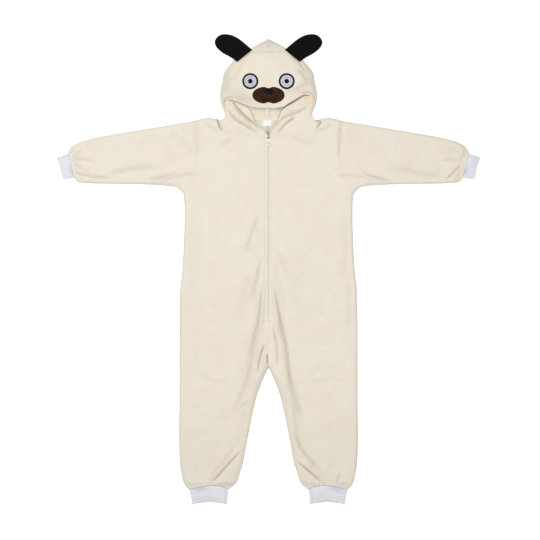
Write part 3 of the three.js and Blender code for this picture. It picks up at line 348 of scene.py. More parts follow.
def run_along(points):
    """The length from the first point to each point along a line of points."""
    steps = np.linalg.norm(np.diff(points, axis=0), axis=1)
    return np.concatenate([[0], np.cumsum(steps)])


def at_lengths(points, lengths):
    """The points at given lengths along a line of points."""
    run = run_along(points)
    return np.stack([np.interp(lengths, run, points[:, k]) for k in range(points.shape[1])], axis=1)


def resampled(points, count):
    """count points at equal steps along a line of points."""
    return at_lengths(points, np.linspace(0, run_along(points)[-1], count))


def evenly(points, count):
    """count points at equal steps along the smooth curve through points."""
    return resampled(through(points, np.linspace(0, len(points) - 1, 40 * len(points))), count)


def offset_line(points, distance):
    """A line of points moved to its left by a distance, square to the line through each point's
    neighbours."""
    p = np.asarray(points, float)
    along = np.concatenate([[p[1] - p[0]], p[2:] - p[:-2], [p[-1] - p[-2]]])
    along /= np.linalg.norm(along, axis=1)[:, None]
    return p + distance * np.stack([-along[:, 1], along[:, 0]], axis=1)


def nearest(line, x, y):
    """Distance of points from a line of points, the side (1 on its left, -1 on its right) and the share
    along it. Points are taken some thousands at a time to spare memory."""
    a = line[:-1]
    step = np.diff(line, axis=0)
    square = (step ** 2).sum(axis=1)
    px, py = np.ravel(x), np.ravel(y)
    distance, side, share = np.empty(px.size), np.empty(px.size), np.empty(px.size)
    for start in range(0, px.size, AT_A_TIME):
        part = slice(start, start + AT_A_TIME)
        dx = px[part, None] - a[:, 0]
        dy = py[part, None] - a[:, 1]
        t = np.clip((dx * step[:, 0] + dy * step[:, 1]) / square, 0, 1)
        away = np.hypot(dx - t * step[:, 0], dy - t * step[:, 1])
        best = away.argmin(axis=1)
        row = np.arange(best.size)
        distance[part] = away[row, best]
        side[part] = np.where(step[best, 0] * dy[row, best] - step[best, 1] * dx[row, best] >= 0, 1, -1)
        share[part] = (best + t[row, best]) / len(a)
    shape = np.shape(x)
    return distance.reshape(shape), side.reshape(shape), share.reshape(shape)


def fold_lift(folds, x, y, fade=0.3):
    """How folds lift and sink the cloth: its height and three painted marks, the line of painted shade deep
    in a crease, the soft painted shade beside it and the painted glow of light from the next cloth. Across a
    fold, with a the distance over the width, the raised side has the height 1.25 * rise * a * a / (a + 0.3)
    * e^(1 - a) less depth * e^(-4 a a), and the other side falls off as -depth * e^(-2 a a). A fold dies
    away towards the ends of its line, and its width sways by a fifth."""
    lift, core, hollow, painted_glow = (np.zeros(np.shape(x)) for _ in range(4))
    for number, crease in enumerate(folds):
        line = evenly(crease["line"], FOLD_POINTS)
        reach = 5 * crease["width"]
        low, high = line.min(axis=0) - reach, line.max(axis=0) + reach
        inside = (x > low[0]) & (x < high[0]) & (y > low[1]) & (y < high[1])
        if not inside.any():
            continue
        distance, side, share = nearest(line, x[inside], y[inside])
        ends = smooth(0, fade, share) * smooth(1, 1 - fade, share)
        width = crease["width"] * (1 + 0.2 * np.sin(9 * share + 1.7 * number))
        across = distance / width * side * crease["raised"]
        out = np.maximum(across, 0)
        raised = 1.25 * crease["rise"] * out * out / (out + 0.3) * np.exp(1 - out) * smooth(5, 3, across)
        raised = raised - crease["depth"] * bell(2 * across)
        sunk = -crease["depth"] * np.exp(-2 * across ** 2)
        lift[inside] += ends * np.where(across > 0, raised, sunk)
        # Painted shade line in the crease, soft painted shade beside it and painted glow on the raised side.
        line_dark = crease["core"] * smooth(crease["core_to"], 0.6 * crease["core_to"], share)
        core[inside] = np.maximum(core[inside], ends * line_dark * bell(distance / crease["thin"]))
        soft = bell(across / np.where(across > 0, 1.1, 0.4))
        hollow[inside] = np.maximum(hollow[inside], ends * min(1, crease["depth"] / 2.4) * soft)
        painted_glow[inside] = np.maximum(painted_glow[inside], ends * crease["warm"] * bell((across - 0.9) / 0.5))
    return lift, core, hollow, painted_glow


def hood_dents(x, y):
    """The hollows in the hood: height, painted shade and painted glow of light, each a bell over an oval
    turned by its angle.
    """
    lift, hollow, painted_glow = (np.zeros(np.shape(x)) for _ in range(3))
    for middle, size, turn, depth, shine, dark in HOOD_DENTS:
        cosine, sine = np.cos(np.radians(turn)), np.sin(np.radians(turn))
        dx, dy = x - middle[0], y - middle[1]
        along = (dx * cosine + dy * sine) / size[0]
        over = (dy * cosine - dx * sine) / size[1]
        near = np.exp(-(along ** 2 + over ** 2))
        lift -= depth * near
        # Painted shade and painted glow of light in the dents.
        hollow = np.maximum(hollow, dark * near)
        painted_glow = np.maximum(painted_glow, shine * near)
    return lift, hollow, painted_glow


def seam_dip(lines, depth, width, x, y):
    """The dent beside sewn seams: a bell as deep as depth, of the distance over the width."""
    distance = np.min([nearest(line, x, y)[0] for line in lines], axis=0)
    return depth * bell(distance / width)


def undulation(x, y, size, height, start):
    """Soft uneven swelling: a third of the sum of six sine waves of about the given size, each in its own
    direction."""
    total = np.zeros(np.shape(x))
    for k in range(6):
        angle = start + 2.4 * k
        length = size * (0.7 + 0.13 * k)
        total += np.sin(2 * np.pi * (x * np.cos(angle) + y * np.sin(angle)) / length + 1.3 * k + start)
    return height * total / 3


def rolled_edge(distance, width, rise, settled):
    """Height above its seam of a rolled edge: a quarter of an ellipse, rise high and width wide, that then
    settles smoothly to a flat level."""
    t = np.clip(1 - distance / width, 0, 1)
    round_part = rise * np.sqrt(1 - t * t)
    settling = lerp(rise, settled, smooth(0, ROLL_FADE, distance - width))
    return np.where(distance < width, round_part, settling)


def dense_ends(count, amount=0.8):
    """Shares from 0 to 1 that lie closer together near both ends: u less amount * sin(2 pi u) / (2 pi)."""
    u = np.linspace(0, 1, count)
    return u - amount * np.sin(2 * np.pi * u) / (2 * np.pi)


def dense_start(count, amount=0.8):
    """Shares from 0 to 1 that lie closer together near 0: u less amount * sin(pi u) / pi."""
    u = np.linspace(0, 1, count)
    return u - amount * np.sin(np.pi * u) / np.pi


# The outline of the right half, at the rows of the panels' grids
both_rows = np.concatenate([
    np.stack([BODY_ROWS[:, 1], BODY_ROWS[:, 0], BODY_ROWS[:, 2], BODY_ROWS[:, 0]], axis=1),
    ARMHOLE_ROWS[:, [2, 3, 0, 1]],
])
corner_rows = [0, len(BODY_ROWS), len(both_rows) - 1]
PER_ROW = 60


def body_sections(step):
    """Sections from the inner line to the outer line, rows of inner x, inner y, outer x and outer y. They
    follow the smooth curves through the tables and lie about a step apart where the lines are furthest
    apart."""
    dense = np.concatenate([
        through(both_rows[a:b + 1], np.linspace(0, b - a, PER_ROW * (b - a) + 1))[1 if a else 0:]
        for a, b in zip(corner_rows, corner_rows[1:])
    ])
    moves = np.maximum(*[np.hypot(*np.diff(dense[:, k:k + 2], axis=0).T) for k in (0, 2)])
    run = np.concatenate([[0], np.cumsum(moves)])
    stops = [run[0], run[PER_ROW * corner_rows[1]], run[-1]]
    lengths = [np.linspace(a, b, int((b - a) / step) + 1) for a, b in zip(stops, stops[1:])]
    at = np.concatenate([lengths[0], lengths[1][1:]])
    sections = np.stack([np.interp(at, run, dense[:, k]) for k in range(4)], axis=1)
    sections[:, 0] = np.maximum(sections[:, 0], 0)
    return sections


sections = body_sections(3.4)
armhole = sections[sections[:, 3] >= UNDERARM_Y - 0.01, 2:]
shoulder_tip = armhole[-1]
sleeve_curve = through(SLEEVE_ROWS, np.linspace(0, len(SLEEVE_ROWS) - 1, 121))
shoulder_share = np.linspace(0, 1, 30)
shoulder = lerp(shoulder_tip, ARMHOLE_ROWS[-1, 2:], shoulder_share[:, None])
shoulder[:, 1] += SHOULDER_BULGE * np.sin(np.pi * shoulder_share)
outline_lines = [
    sections[sections[:, 1] <= CROTCH_Y, :2],
    np.concatenate([sections[sections[:, 3] <= UNDERARM_Y + 0.01, 2:], sleeve_curve[1:, 2:]]),
    np.concatenate([sleeve_curve[::-1, :2], shoulder[1:]]),
]
neck_seam = ARMHOLE_ROWS[ARMHOLE_ROWS[:, 3] >= ZIP_TOP][:, 2:]
neck_line = sections[(sections[:, 0] > 6) & (sections[:, 1] > 400)][:, :2]
hood_line = evenly(HOOD_OUTLINE, 401)


def from_outline(x, y):
    """Distance in from the outline of the body, legs and sleeves, 0 within a tenth of a millimetre of it."""
    distance = np.min([nearest(line, np.abs(x), y)[0] for line in outline_lines], axis=0)
    return np.where(distance < 0.1, 0, distance)


def from_wrist(x, y):
    """How far points lie from the wrist seam towards the shoulder, and how far along it."""
    top, low = SLEEVE_ROWS[-1, :2], SLEEVE_ROWS[-1, 2:]
    unit = (top - low) / np.linalg.norm(top - low)
    away = (top[0] - np.abs(x)) * unit[1] - (top[1] - y) * unit[0]
    return away, np.abs(x) * unit[0] + y * unit[1]


def towards_cuff(x, y):
    """1 at the seam of a cuff and 0 from 26 mm away from it."""
    return smooth(26, 2, np.minimum(from_wrist(x, y)[0], y - ANKLE_SEAM_Y))


def gathers(x, y):
    """The small pleats that a tight cuff pulls into the cloth: waves along its seam, uneven in width, that
    die away within 34 mm of it."""
    ankle = np.sin(x / 3.1 + 1.1 * np.sin(x / 9)) * smooth(34, 4, y - ANKLE_SEAM_Y) * (y < -600)
    away, along = from_wrist(x, y)
    wrist = np.sin(along / 3.4 + 1.1 * np.sin(along / 8 + np.sign(x))) * smooth(34, 4, away) * (y > 200)
    return 0.9 * (ankle + wrist)


def chest_height(x, y, near=None):
    """The front layer of the body, legs and sleeves. It rises in a roll from the outline, settles to a
    flat level and carries the folds, the gathers at the cuffs, the dents at the seams and the swelling of
    soft cloth."""
    near = from_outline(x, y) if near is None else near
    at_cuff = towards_cuff(x, y)
    settled = FLAT_TOP - SEAM_LEVEL
    level = SEAM_LEVEL + rolled_edge(near, ROLL_WIDTH, lerp(ROLL_RISE, settled, at_cuff), settled)
    level = lerp(level, np.minimum(level, CUFF_TOP), at_cuff)
    at_zip = smooth(ZIP_BOTTOM - 60, ZIP_BOTTOM - 5, y)
    zip_side = lerp(1, smooth(12, 30, np.abs(x)), at_zip)
    inner = smooth(1, 18, near) * zip_side * (1 - 0.7 * at_cuff)
    lift, _, hollow, _ = fold_lift(LONG_FOLDS, x, y)
    fine, fine_core, fine_hollow, painted_glow = fold_lift(FINE_CREASES, x, y, 0.22)
    fine_side = lerp(1, smooth(8, 16, np.abs(x)), at_zip)
    swelling = undulation(x, y, 95, 0.9, 0.4) + undulation(x, y, 34, 0.35, 2.2)
    soft = smooth(4, 26, near) * (swelling + gathers(x, y) * smooth(2, 14, near))
    armhole_dip = seam_dip([armhole], 1.1, 7, np.abs(x), y) * lerp(0.12, 1, smooth(340, 430, y))
    neck_dip = seam_dip([neck_line], 0.8, 7, np.abs(x), y)
    middle = 0.8 * bell(x / 4.5) * (y < ZIP_BOTTOM) * smooth(CROTCH_Y - 7, CROTCH_Y + 7, y)
    stitched = 0.9 * bell((np.abs(x) - TOPSTITCH) / 2.6) * smooth(ZIP_BOTTOM - 4, ZIP_BOTTOM + 6, y)
    folded = np.clip(1 - (np.abs(x) - ZIP_EDGE) / 4.5, 0, 1)
    beside_zip = smooth(ZIP_BOTTOM - 2, ZIP_BOTTOM + 12, y) * smooth(ZIP_TOP + 6, ZIP_TOP - 2, y)
    zip_fold = 2.2 * (1 - np.sqrt(1 - folded ** 2)) * beside_zip
    z = level + lift * inner + fine * smooth(2, 12, near) * fine_side + soft
    z = z - (armhole_dip + neck_dip) * smooth(1, 8, near)
    z = z - middle - stitched * smooth(438, 430, y) - zip_fold
    z = np.where(near > 0, np.maximum(z, LOWEST_TOP), SEAM_LEVEL)
    # Painted shade lines in the fine creases, and soft painted shade beside the folds and in the seam dents.
    core = fine_core * fine_side
    hollow = 0.5 * np.maximum(hollow * inner, fine_hollow * np.where(np.abs(x) < 8, 0.8, 1) * fine_side)
    dips = 0.33 * armhole_dip + 0.2 * neck_dip + 0.1 * middle + 0.12 * stitched * (y < 434)
    hollow = np.maximum(hollow, dips)
    # Painted shade along the outline and a little towards the ankles, and painted glow beside the creases.
    at_edge = 0.4 * smooth(9, 1, near) * (near > 0)
    low_leg = 0.12 * smooth(-380, -640, y)
    return z, core, np.maximum(np.maximum(hollow, at_edge), low_leg), 0.6 * painted_glow * fine_side


def turned_up(near, level):
    """The back layer: flat on the table, and turned up near the outline in a quarter of an ellipse."""
    t = np.clip(1 - near / BACK_ROLL, 0, 1)
    return level * (1 - np.sqrt(1 - t * t))


def hood_height(x, y, near):
    """The front layer of the hood: a rolled edge, a low dome, the folds round the opening and the dents at
    its seams. A soft floor, with the height of 0.4 * ln(1 + e^(h / 0.4)) for h over LOWEST_TOP, keeps it
    above the back layer. Within 24 mm of the neck seam it takes the height of the chest, so that the two
    meet."""
    rise = lerp(HOOD_RISE, ROLL_RISE, smooth(540, 495, y))
    edge = rolled_edge(near, HOOD_ROLL, rise, rise)
    crown = lerp(HOOD_CROWN, FLAT_TOP + 5, smooth(600, 500, y))
    dome = (crown - SEAM_LEVEL - HOOD_RISE) * smooth(10, 70, near)
    lift, _, hollow, _ = fold_lift(OPENING_FOLDS, x, y)
    fine, core, fine_hollow, painted_glow = fold_lift(OPENING_CREASES, x, y, 0.15)
    dents, dent_hollow, dent_glow = hood_dents(x, y)
    swelling = (undulation(x, y, 80, 0.8, 1.9) + undulation(x, y, 30, 0.35, 0.7)) * smooth(4, 26, near)
    own = SEAM_LEVEL + edge + dome + (lift + fine + dents) * smooth(1, 14, near) + swelling
    top_line = 0.8 * bell((y - FACE_TOP + 7) / 2.4) * smooth(60, 48, np.abs(x))
    top_band = 0.5 * np.exp(-(((y - FACE_TOP + 3.5) / 5) ** 4)) * smooth(62, 50, np.abs(x))
    seam_dent = seam_dip(face_lines, 0.9, 5, x, y) + top_line
    own = own - seam_dent * smooth(1, 8, near)
    own = LOWEST_TOP + 0.4 * np.logaddexp(0, (own - LOWEST_TOP) / 0.4)
    away = np.where(y > 520, 1, smooth(0, 24, nearest(neck_line, np.abs(x), y)[0]))
    chest, _, chest_hollow, _ = chest_height(x, y)
    # Painted shade along the hood's outline, in a band at the face panel's top seam, in the seam dents and
    # dents,
    sides = 0.5 * smooth(30, 2, near) * smooth(500, 560, y)
    # and from the chest near the neck seam; painted glow of light beside the creases and in the dents.
    hollow = 0.42 * np.maximum(hollow, fine_hollow)
    for other in (0.35 * seam_dent, top_band, sides, dent_hollow, (1 - away) * chest_hollow):
        hollow = np.maximum(hollow, other)
    return lerp(chest, own, away), core, hollow, np.maximum(0.6 * painted_glow, dent_glow)


def face_seam(which, count):
    """Points along the seam between the face panel and a hood side, as half widths."""
    return evenly(FACE_SEAM[which], count)


face_lines = [
    face_seam("left", 60) * [-1, 1],
    face_seam("right", 60),
    np.array([(-55, FACE_TOP), (0, FACE_TOP), (54, FACE_TOP)], float),
]
opening_lines = [
    np.array(CHEEK_EDGE["left"], float) * [-1, 1],
    np.array(CHEEK_EDGE["right"], float),
    np.array(FACE_HEM, float),
]


def inside_shade(x, y):
    """How dark the painted shade on the back layer's inner face is where the opening shows it: in the corner
    at the zip, under the right half of the face panel's hem, and softly along the edges of the opening."""
    edge = np.full(np.shape(x), 99.0)
    under = np.full(np.shape(x), 99.0)
    seen = (np.abs(x) < 170) & (y > 410) & (y < 620)
    edge[seen] = np.min([nearest(line, x[seen], y[seen])[0] for line in opening_lines], axis=0)
    hem_right = np.array(FACE_HEM[7:13], float)
    under[seen] = nearest(hem_right, x[seen], y[seen])[0]
    corner = np.hypot(x + 3, (y - 442) / 2.2)
    low_end = lerp(1, 0.6, smooth(60, 105, x))
    core = np.maximum(bell(corner / 6.5), low_end * bell(under / 6))
    hollow = np.maximum(0.75 * bell(edge / 13), bell(corner / 22))
    return core, hollow


# Meshes. Points whose places agree when counted in so many steps to a millimetre are made one point.
WELD_STEPS = 2000
CLOTH_WELD_STEPS = 500


def grid_triangles(index):
    """Two triangles for each cell of a grid of vertex numbers."""
    a, b, c, d = index[:-1, :-1], index[:-1, 1:], index[1:, 1:], index[1:, :-1]
    return np.concatenate([np.stack(corners, axis=-1).reshape(-1, 3) for corners in ((a, b, c), (a, c, d))])


def with_area(triangles):
    """The triangles that still have three different corners."""
    a, b, c = triangles.T
    return triangles[(a != b) & (b != c) & (c != a)]


def vertex_normals(points, triangles):
    """The sum of the areas and directions of the triangles round each vertex, made one long."""
    a, b, c = (points[triangles[:, k]] for k in range(3))
    face = np.cross(b - a, c - a)
    total = np.zeros_like(points)
    for k in range(3):
        for axis in range(3):
            total[:, axis] += np.bincount(triangles[:, k], weights=face[:, axis], minlength=len(points))
    return total / np.maximum(np.linalg.norm(total, axis=1), 1e-9)[:, None]


def welded(table, shape):
    """The different points of a grid and its triangles, without those that have shrunk to a line."""
    _, first, where = np.unique(
        np.round(table * WELD_STEPS), axis=0, return_index=True, return_inverse=True)
    return table[first], with_area(grid_triangles(where.ravel().reshape(shape)))


def add_mesh(name, points, triangles, marks=None, rim=0):
    """A mesh object from points in millimetres and triangles, turned so that its faces point out. It is
    shaded smooth, apart from its last triangles, which are the rim. marks are the crease, hollow, glow and
    inside values of the points: painted shade lines in creases, soft painted shade, painted glow of light
    and the inner face, which the fleece paints in a darker, warmer shade."""
    a, b, c = (points[triangles[:, k]] for k in range(3))
    if (a * np.cross(b, c)).sum() < 0:
        triangles = triangles[:, ::-1]
    mesh = bpy.data.meshes.new(name)
    mesh.vertices.add(len(points))
    mesh.vertices.foreach_set("co", np.ravel(points * MM).astype(np.float32))
    mesh.loops.add(3 * len(triangles))
    mesh.loops.foreach_set("vertex_index", np.ravel(triangles).astype(np.int32))
    mesh.polygons.add(len(triangles))
    mesh.polygons.foreach_set("loop_start", np.arange(0, 3 * len(triangles), 3, dtype=np.int32))
    mesh.update(calc_edges=True)
    mesh.polygons.foreach_set("use_smooth", np.arange(len(triangles)) < len(triangles) - rim)
    if marks is not None:
        for kind, values in zip(("crease", "hollow", "painted_glow", "inside"), marks.T):
            layer = mesh.attributes.new(kind, "FLOAT", "POINT")
            layer.data.foreach_set("value", values.astype(np.float32))
    mesh.validate()
    piece = bpy.data.objects.new(name, mesh)
    bpy.context.scene.collection.objects.link(piece)
    return piece


def thickness_ways(points, triangles):
    """The outward direction of the cloth's thickness at each point: the normals, each averaged with those
    round it three times, and turned upright except on steep edges, so that the inner face never comes
    through a fold."""
    ways = vertex_normals(points, triangles)
    for _ in range(3):
        round_it = ways[triangles].sum(axis=1)
        ways = np.stack([
            sum(np.bincount(triangles[:, k], round_it[:, axis], len(points)) for k in range(3))
            for axis in range(3)
        ], axis=1)
        ways /= np.maximum(np.linalg.norm(ways, axis=1), 1e-9)[:, None]
    ways[:, :2] *= smooth(0.8, 0.4, np.abs(ways[:, 2]))[:, None]
    return ways / np.maximum(np.linalg.norm(ways, axis=1), 1e-9)[:, None]


def cloth(name, grids, thickness, faces_up=True):
    """A closed piece of cloth from grids of x, y, z, crease, hollow and glow that share edges. The outer
    face is the grids, the inner face lies one thickness inside it, and a rim joins the two along open
    edges."""
    table = np.concatenate([g.reshape(-1, g.shape[-1]) for g in grids])
    _, first, where = np.unique(
        np.round(table[:, :3] * CLOTH_WELD_STEPS), axis=0, return_index=True, return_inverse=True)
    where = where.ravel()
    triangles, start = [], 0
    for g in grids:
        size = g.shape[0] * g.shape[1]
        triangles.append(grid_triangles(where[start:start + size].reshape(g.shape[:2])))
        start += size
    top = len(triangles[0])
    triangles = np.concatenate(triangles)
    outer = table[first, :3]
    a, b, c = (outer[triangles[:top, k]] for k in range(3))
    if (np.cross(b - a, c - a)[:, 2].sum() > 0) != faces_up:
        triangles = triangles[:, ::-1]
    triangles = with_area(triangles)
    inner = outer - thickness_ways(outer, triangles) * thickness
    edges = np.concatenate([triangles[:, [0, 1]], triangles[:, [1, 2]], triangles[:, [2, 0]]])
    code = edges.min(axis=1) * len(outer) + edges.max(axis=1)
    _, back, uses = np.unique(code, return_inverse=True, return_counts=True)
    p, q = edges[uses[back.ravel()] == 1].T
    n = len(outer)
    rim = np.concatenate([np.stack([q, p, p + n], axis=1), np.stack([q, p + n, q + n], axis=1)])
    closed = np.concatenate([triangles, triangles[:, ::-1] + n, rim])
    # The inner face carries the inside mark, which the fleece turns into a darker, warmer painted shade.
    marks = np.concatenate([
        np.column_stack([table[first, 3:6], np.full(n, inside)])
        for inside in (0.0, 1.0)
    ])
    return add_mesh(name, np.concatenate([outer, inner]), closed, marks, rim=len(rim))


def with_hem(grid, radius, depth, steps=7):
    """The grid of a panel with its last column carried round a hem: half a circle over the edge, and the
    turned-in cloth going back under it, at least HEM_CLEAR below the panel. Its way is the level direction
    from two columns before the edge to the edge."""
    last = grid[:, -1:, :3]
    way = (grid[:, -1:, :3] - grid[:, -3:-2, :3]) * [1, 1, 0]
    way = way / np.maximum(np.linalg.norm(way, axis=2, keepdims=True), 1e-6)
    angle = np.linspace(0, np.pi, steps)[None, 1:, None]
    up = np.array([0, 0, 1.0])
    curl = last + way * radius * np.sin(angle) - up * radius * (1 - np.cos(angle))
    share = np.linspace(0.25, 1, 4)
    back = curl[:, -1:] - way * depth * share[None, :, None]
    gone = np.linalg.norm((grid[..., :3] - last)[..., :2], axis=2)
    column = np.abs(gone[:, :, None] - depth * share[None, None]).argmin(axis=1)
    under = np.take_along_axis(grid[..., 2], column, axis=1) - HEM_CLEAR
    back[..., 2] = np.maximum(np.minimum(back[..., 2], under), FLEECE + 0.2)
    added = np.concatenate([curl, back], axis=1)
    # Painted shade over the curl of the hem and under the turned-in cloth.
    dark = np.concatenate([np.linspace(0, 0.6, steps - 1), np.full(4, 0.8)])
    return np.concatenate([grid, plain_grid(*np.moveaxis(added, 2, 0), 0, dark)], axis=1)


def with_height(x, y, height):
    """A grid of x, y, z, crease, hollow and glow from level places and a height function."""
    z, core, hollow, painted_glow = height(x, y)
    return np.stack([x, y, z, *(np.clip(mark, 0, 1) for mark in (core, hollow, painted_glow))], axis=-1)


def plain_grid(x, y, z, core=0, hollow=0, painted_glow=0):
    """A grid of x, y, z, crease, hollow and glow from places."""
    shape = np.broadcast(x, y, z).shape
    layers = (x, y, z, core, hollow, painted_glow)
    return np.stack([np.broadcast_to(layer, shape).astype(float) for layer in layers], axis=-1)


# Body panels
def ankle_arch(x, y):
    """How far the ankle seam is pulled up between its ends: half a sine wave with its top nearer the inner
    leg."""
    share = np.clip((np.abs(x) - ANKLE["seam"][0][0]) / (ANKLE["seam"][1][0] - ANKLE["seam"][0][0]), 0, 1)
    return 13 * np.sin(np.pi * share ** 0.75) * smooth(ANKLE_SEAM_Y + 42.5, ANKLE_SEAM_Y, y)


def shoulder_bulge(outer_y):
    """How far a section bows up in its middle, from the height of its outer end."""
    return np.where(outer_y > 300, SHOULDER_BULGE * smooth(60, 0, shoulder_tip[1] - outer_y), 0)


def front_panel(side):
    """One front from the ankle to the shoulder: sections between the middle line and the side, at the
    height of the chest layer. Near the shoulder a section bows up by a sine wave."""
    share = dense_ends(88, 0.8)[None, :]
    inner = sections[:, :2].copy()
    free = inner[:, 0] < 0.2
    bay = lerp(ZIP_EDGE, SLIDER_BAY, smooth(402, 416, inner[:, 1]))
    beside_zip = lerp(0, bay, smooth(ZIP_BOTTOM - 1, ZIP_BOTTOM + 8, inner[:, 1]))
    inner[:, 0] = np.where(free, beside_zip, np.maximum(inner[:, 0], HALF_GAP))
    outer = sections[:, 2:]
    x = lerp(inner[:, :1], outer[:, :1], share)
    y = lerp(inner[:, 1:], outer[:, 1:], share) + shoulder_bulge(outer[:, 1:]) * np.sin(np.pi * share)
    near = from_outline(x, y)
    near[outer[:, 1] <= UNDERARM_Y + 0.01, -1] = 0
    near[inner[:, 1] <= CROTCH_Y - 1, 0] = 0
    y = y + ankle_arch(x, y)
    grid = with_height(side * x, y, lambda px, py: chest_height(px, py, near))
    grid[..., 2] += HALF_GAP
    return cloth("front_" + SIDES[side], [grid], FLEECE)


def back_panel(side):
    """One back, flat on the table and turned up at the outline, from the ankle to the shoulder and the
    neck."""
    rows = body_sections(11)
    corner = BACK_NECK["corner_x"] / shoulder_tip[0]
    rising = np.clip((rows[:, 3] - UNDERARM_Y) / (shoulder_tip[1] - UNDERARM_Y), 0, 1)
    start = np.stack([np.where(rows[:, 1] <= CROTCH_Y, np.maximum(rows[:, 0], HALF_GAP), HALF_GAP),
                      np.where(rising > 0, lerp(UNDERARM_Y, BACK_NECK["y"], rising), rows[:, 1])], axis=1)
    outer = rows[:, 2:]
    on_row = lerp(start, outer, corner)
    neck = np.stack([lerp(outer[:, 0] * corner, BACK_NECK["corner_x"], rising),
                     lerp(UNDERARM_Y, BACK_NECK["corner_y"], rising)], axis=1)
    neck = np.where(rising[:, None] > 0, neck, on_row)
    first = dense_start(16, 0.7)[None, :, None]
    second = (1 - dense_start(18, 0.85)[::-1])[None, 1:, None]
    inside = lerp(start[:, None], neck[:, None], first)
    outside = lerp(neck[:, None], outer[:, None], second)
    outside[..., 1] += shoulder_bulge(outer[:, 1:]) * np.sin(np.pi * second[..., 0])
    places = np.concatenate([inside, outside], axis=1)
    near = from_outline(places[..., 0], places[..., 1])
    near[outer[:, 1] <= UNDERARM_Y + 0.01, -1] = 0
    x, y = side * places[..., 0], places[..., 1]
    # The back's inner face carries painted shade where the opening shows it.
    grid = plain_grid(x, y, turned_up(near, SEAM_LEVEL - SEAM_GAP), *inside_shade(x, y))
    return cloth("back_" + SIDES[side], [grid], FLEECE, faces_up=False)


def sleeve(side):
    """A sleeve: a flattened tube from the armhole seam to the cuff. Its stations run along it and its places
    round it, the front from the upper edge to the lower one and the back on the table the other way."""
    steps = np.linspace(0, 1, 140)
    stations = (steps + 0.4 * np.sin(np.pi * steps) / np.pi) * (len(SLEEVE_ROWS) - 1)
    rows = through(SLEEVE_ROWS, stations)
    share = dense_ends(64, 0.86)[None, :]
    seam_share = (shoulder_tip[1] - armhole[::-1, 1]) / (shoulder_tip[1] - armhole[0, 1])
    armhole_x = np.interp(share, seam_share, armhole[::-1, 0])
    bow = armhole_x - lerp(shoulder_tip[0], armhole[0, 0], share)
    along = (stations / (len(SLEEVE_ROWS) - 1))[:, None]
    x = lerp(rows[:, 0:1], rows[:, 2:3], share) + bow * (1 - along) ** 2.2
    x = x - HALF_GAP * smooth(0.01, 0, along)
    y = lerp(rows[:, 1:2], rows[:, 3:4], share) + np.zeros_like(x)
    upper, lower = (np.stack([x[:, k], y[:, k]], axis=1) for k in (0, -1))
    own = np.minimum(nearest(upper, x, y)[0], nearest(lower, x, y)[0])
    near = np.maximum(from_outline(x, y), own * smooth(0.02, 0.1, along))
    near[1:, [0, -1]] = 0
    front = with_height(side * x, y, lambda px, py: chest_height(px, py, near))
    back = front[:, ::-1].copy()
    back[..., 2] = turned_up(near[:, ::-1], SEAM_LEVEL)
    back[:, 0], back[:, -1] = front[:, -1], front[:, 0]
    back[..., 3:] = 0
    return cloth("sleeve_" + SIDES[side], [front, back], FLEECE)


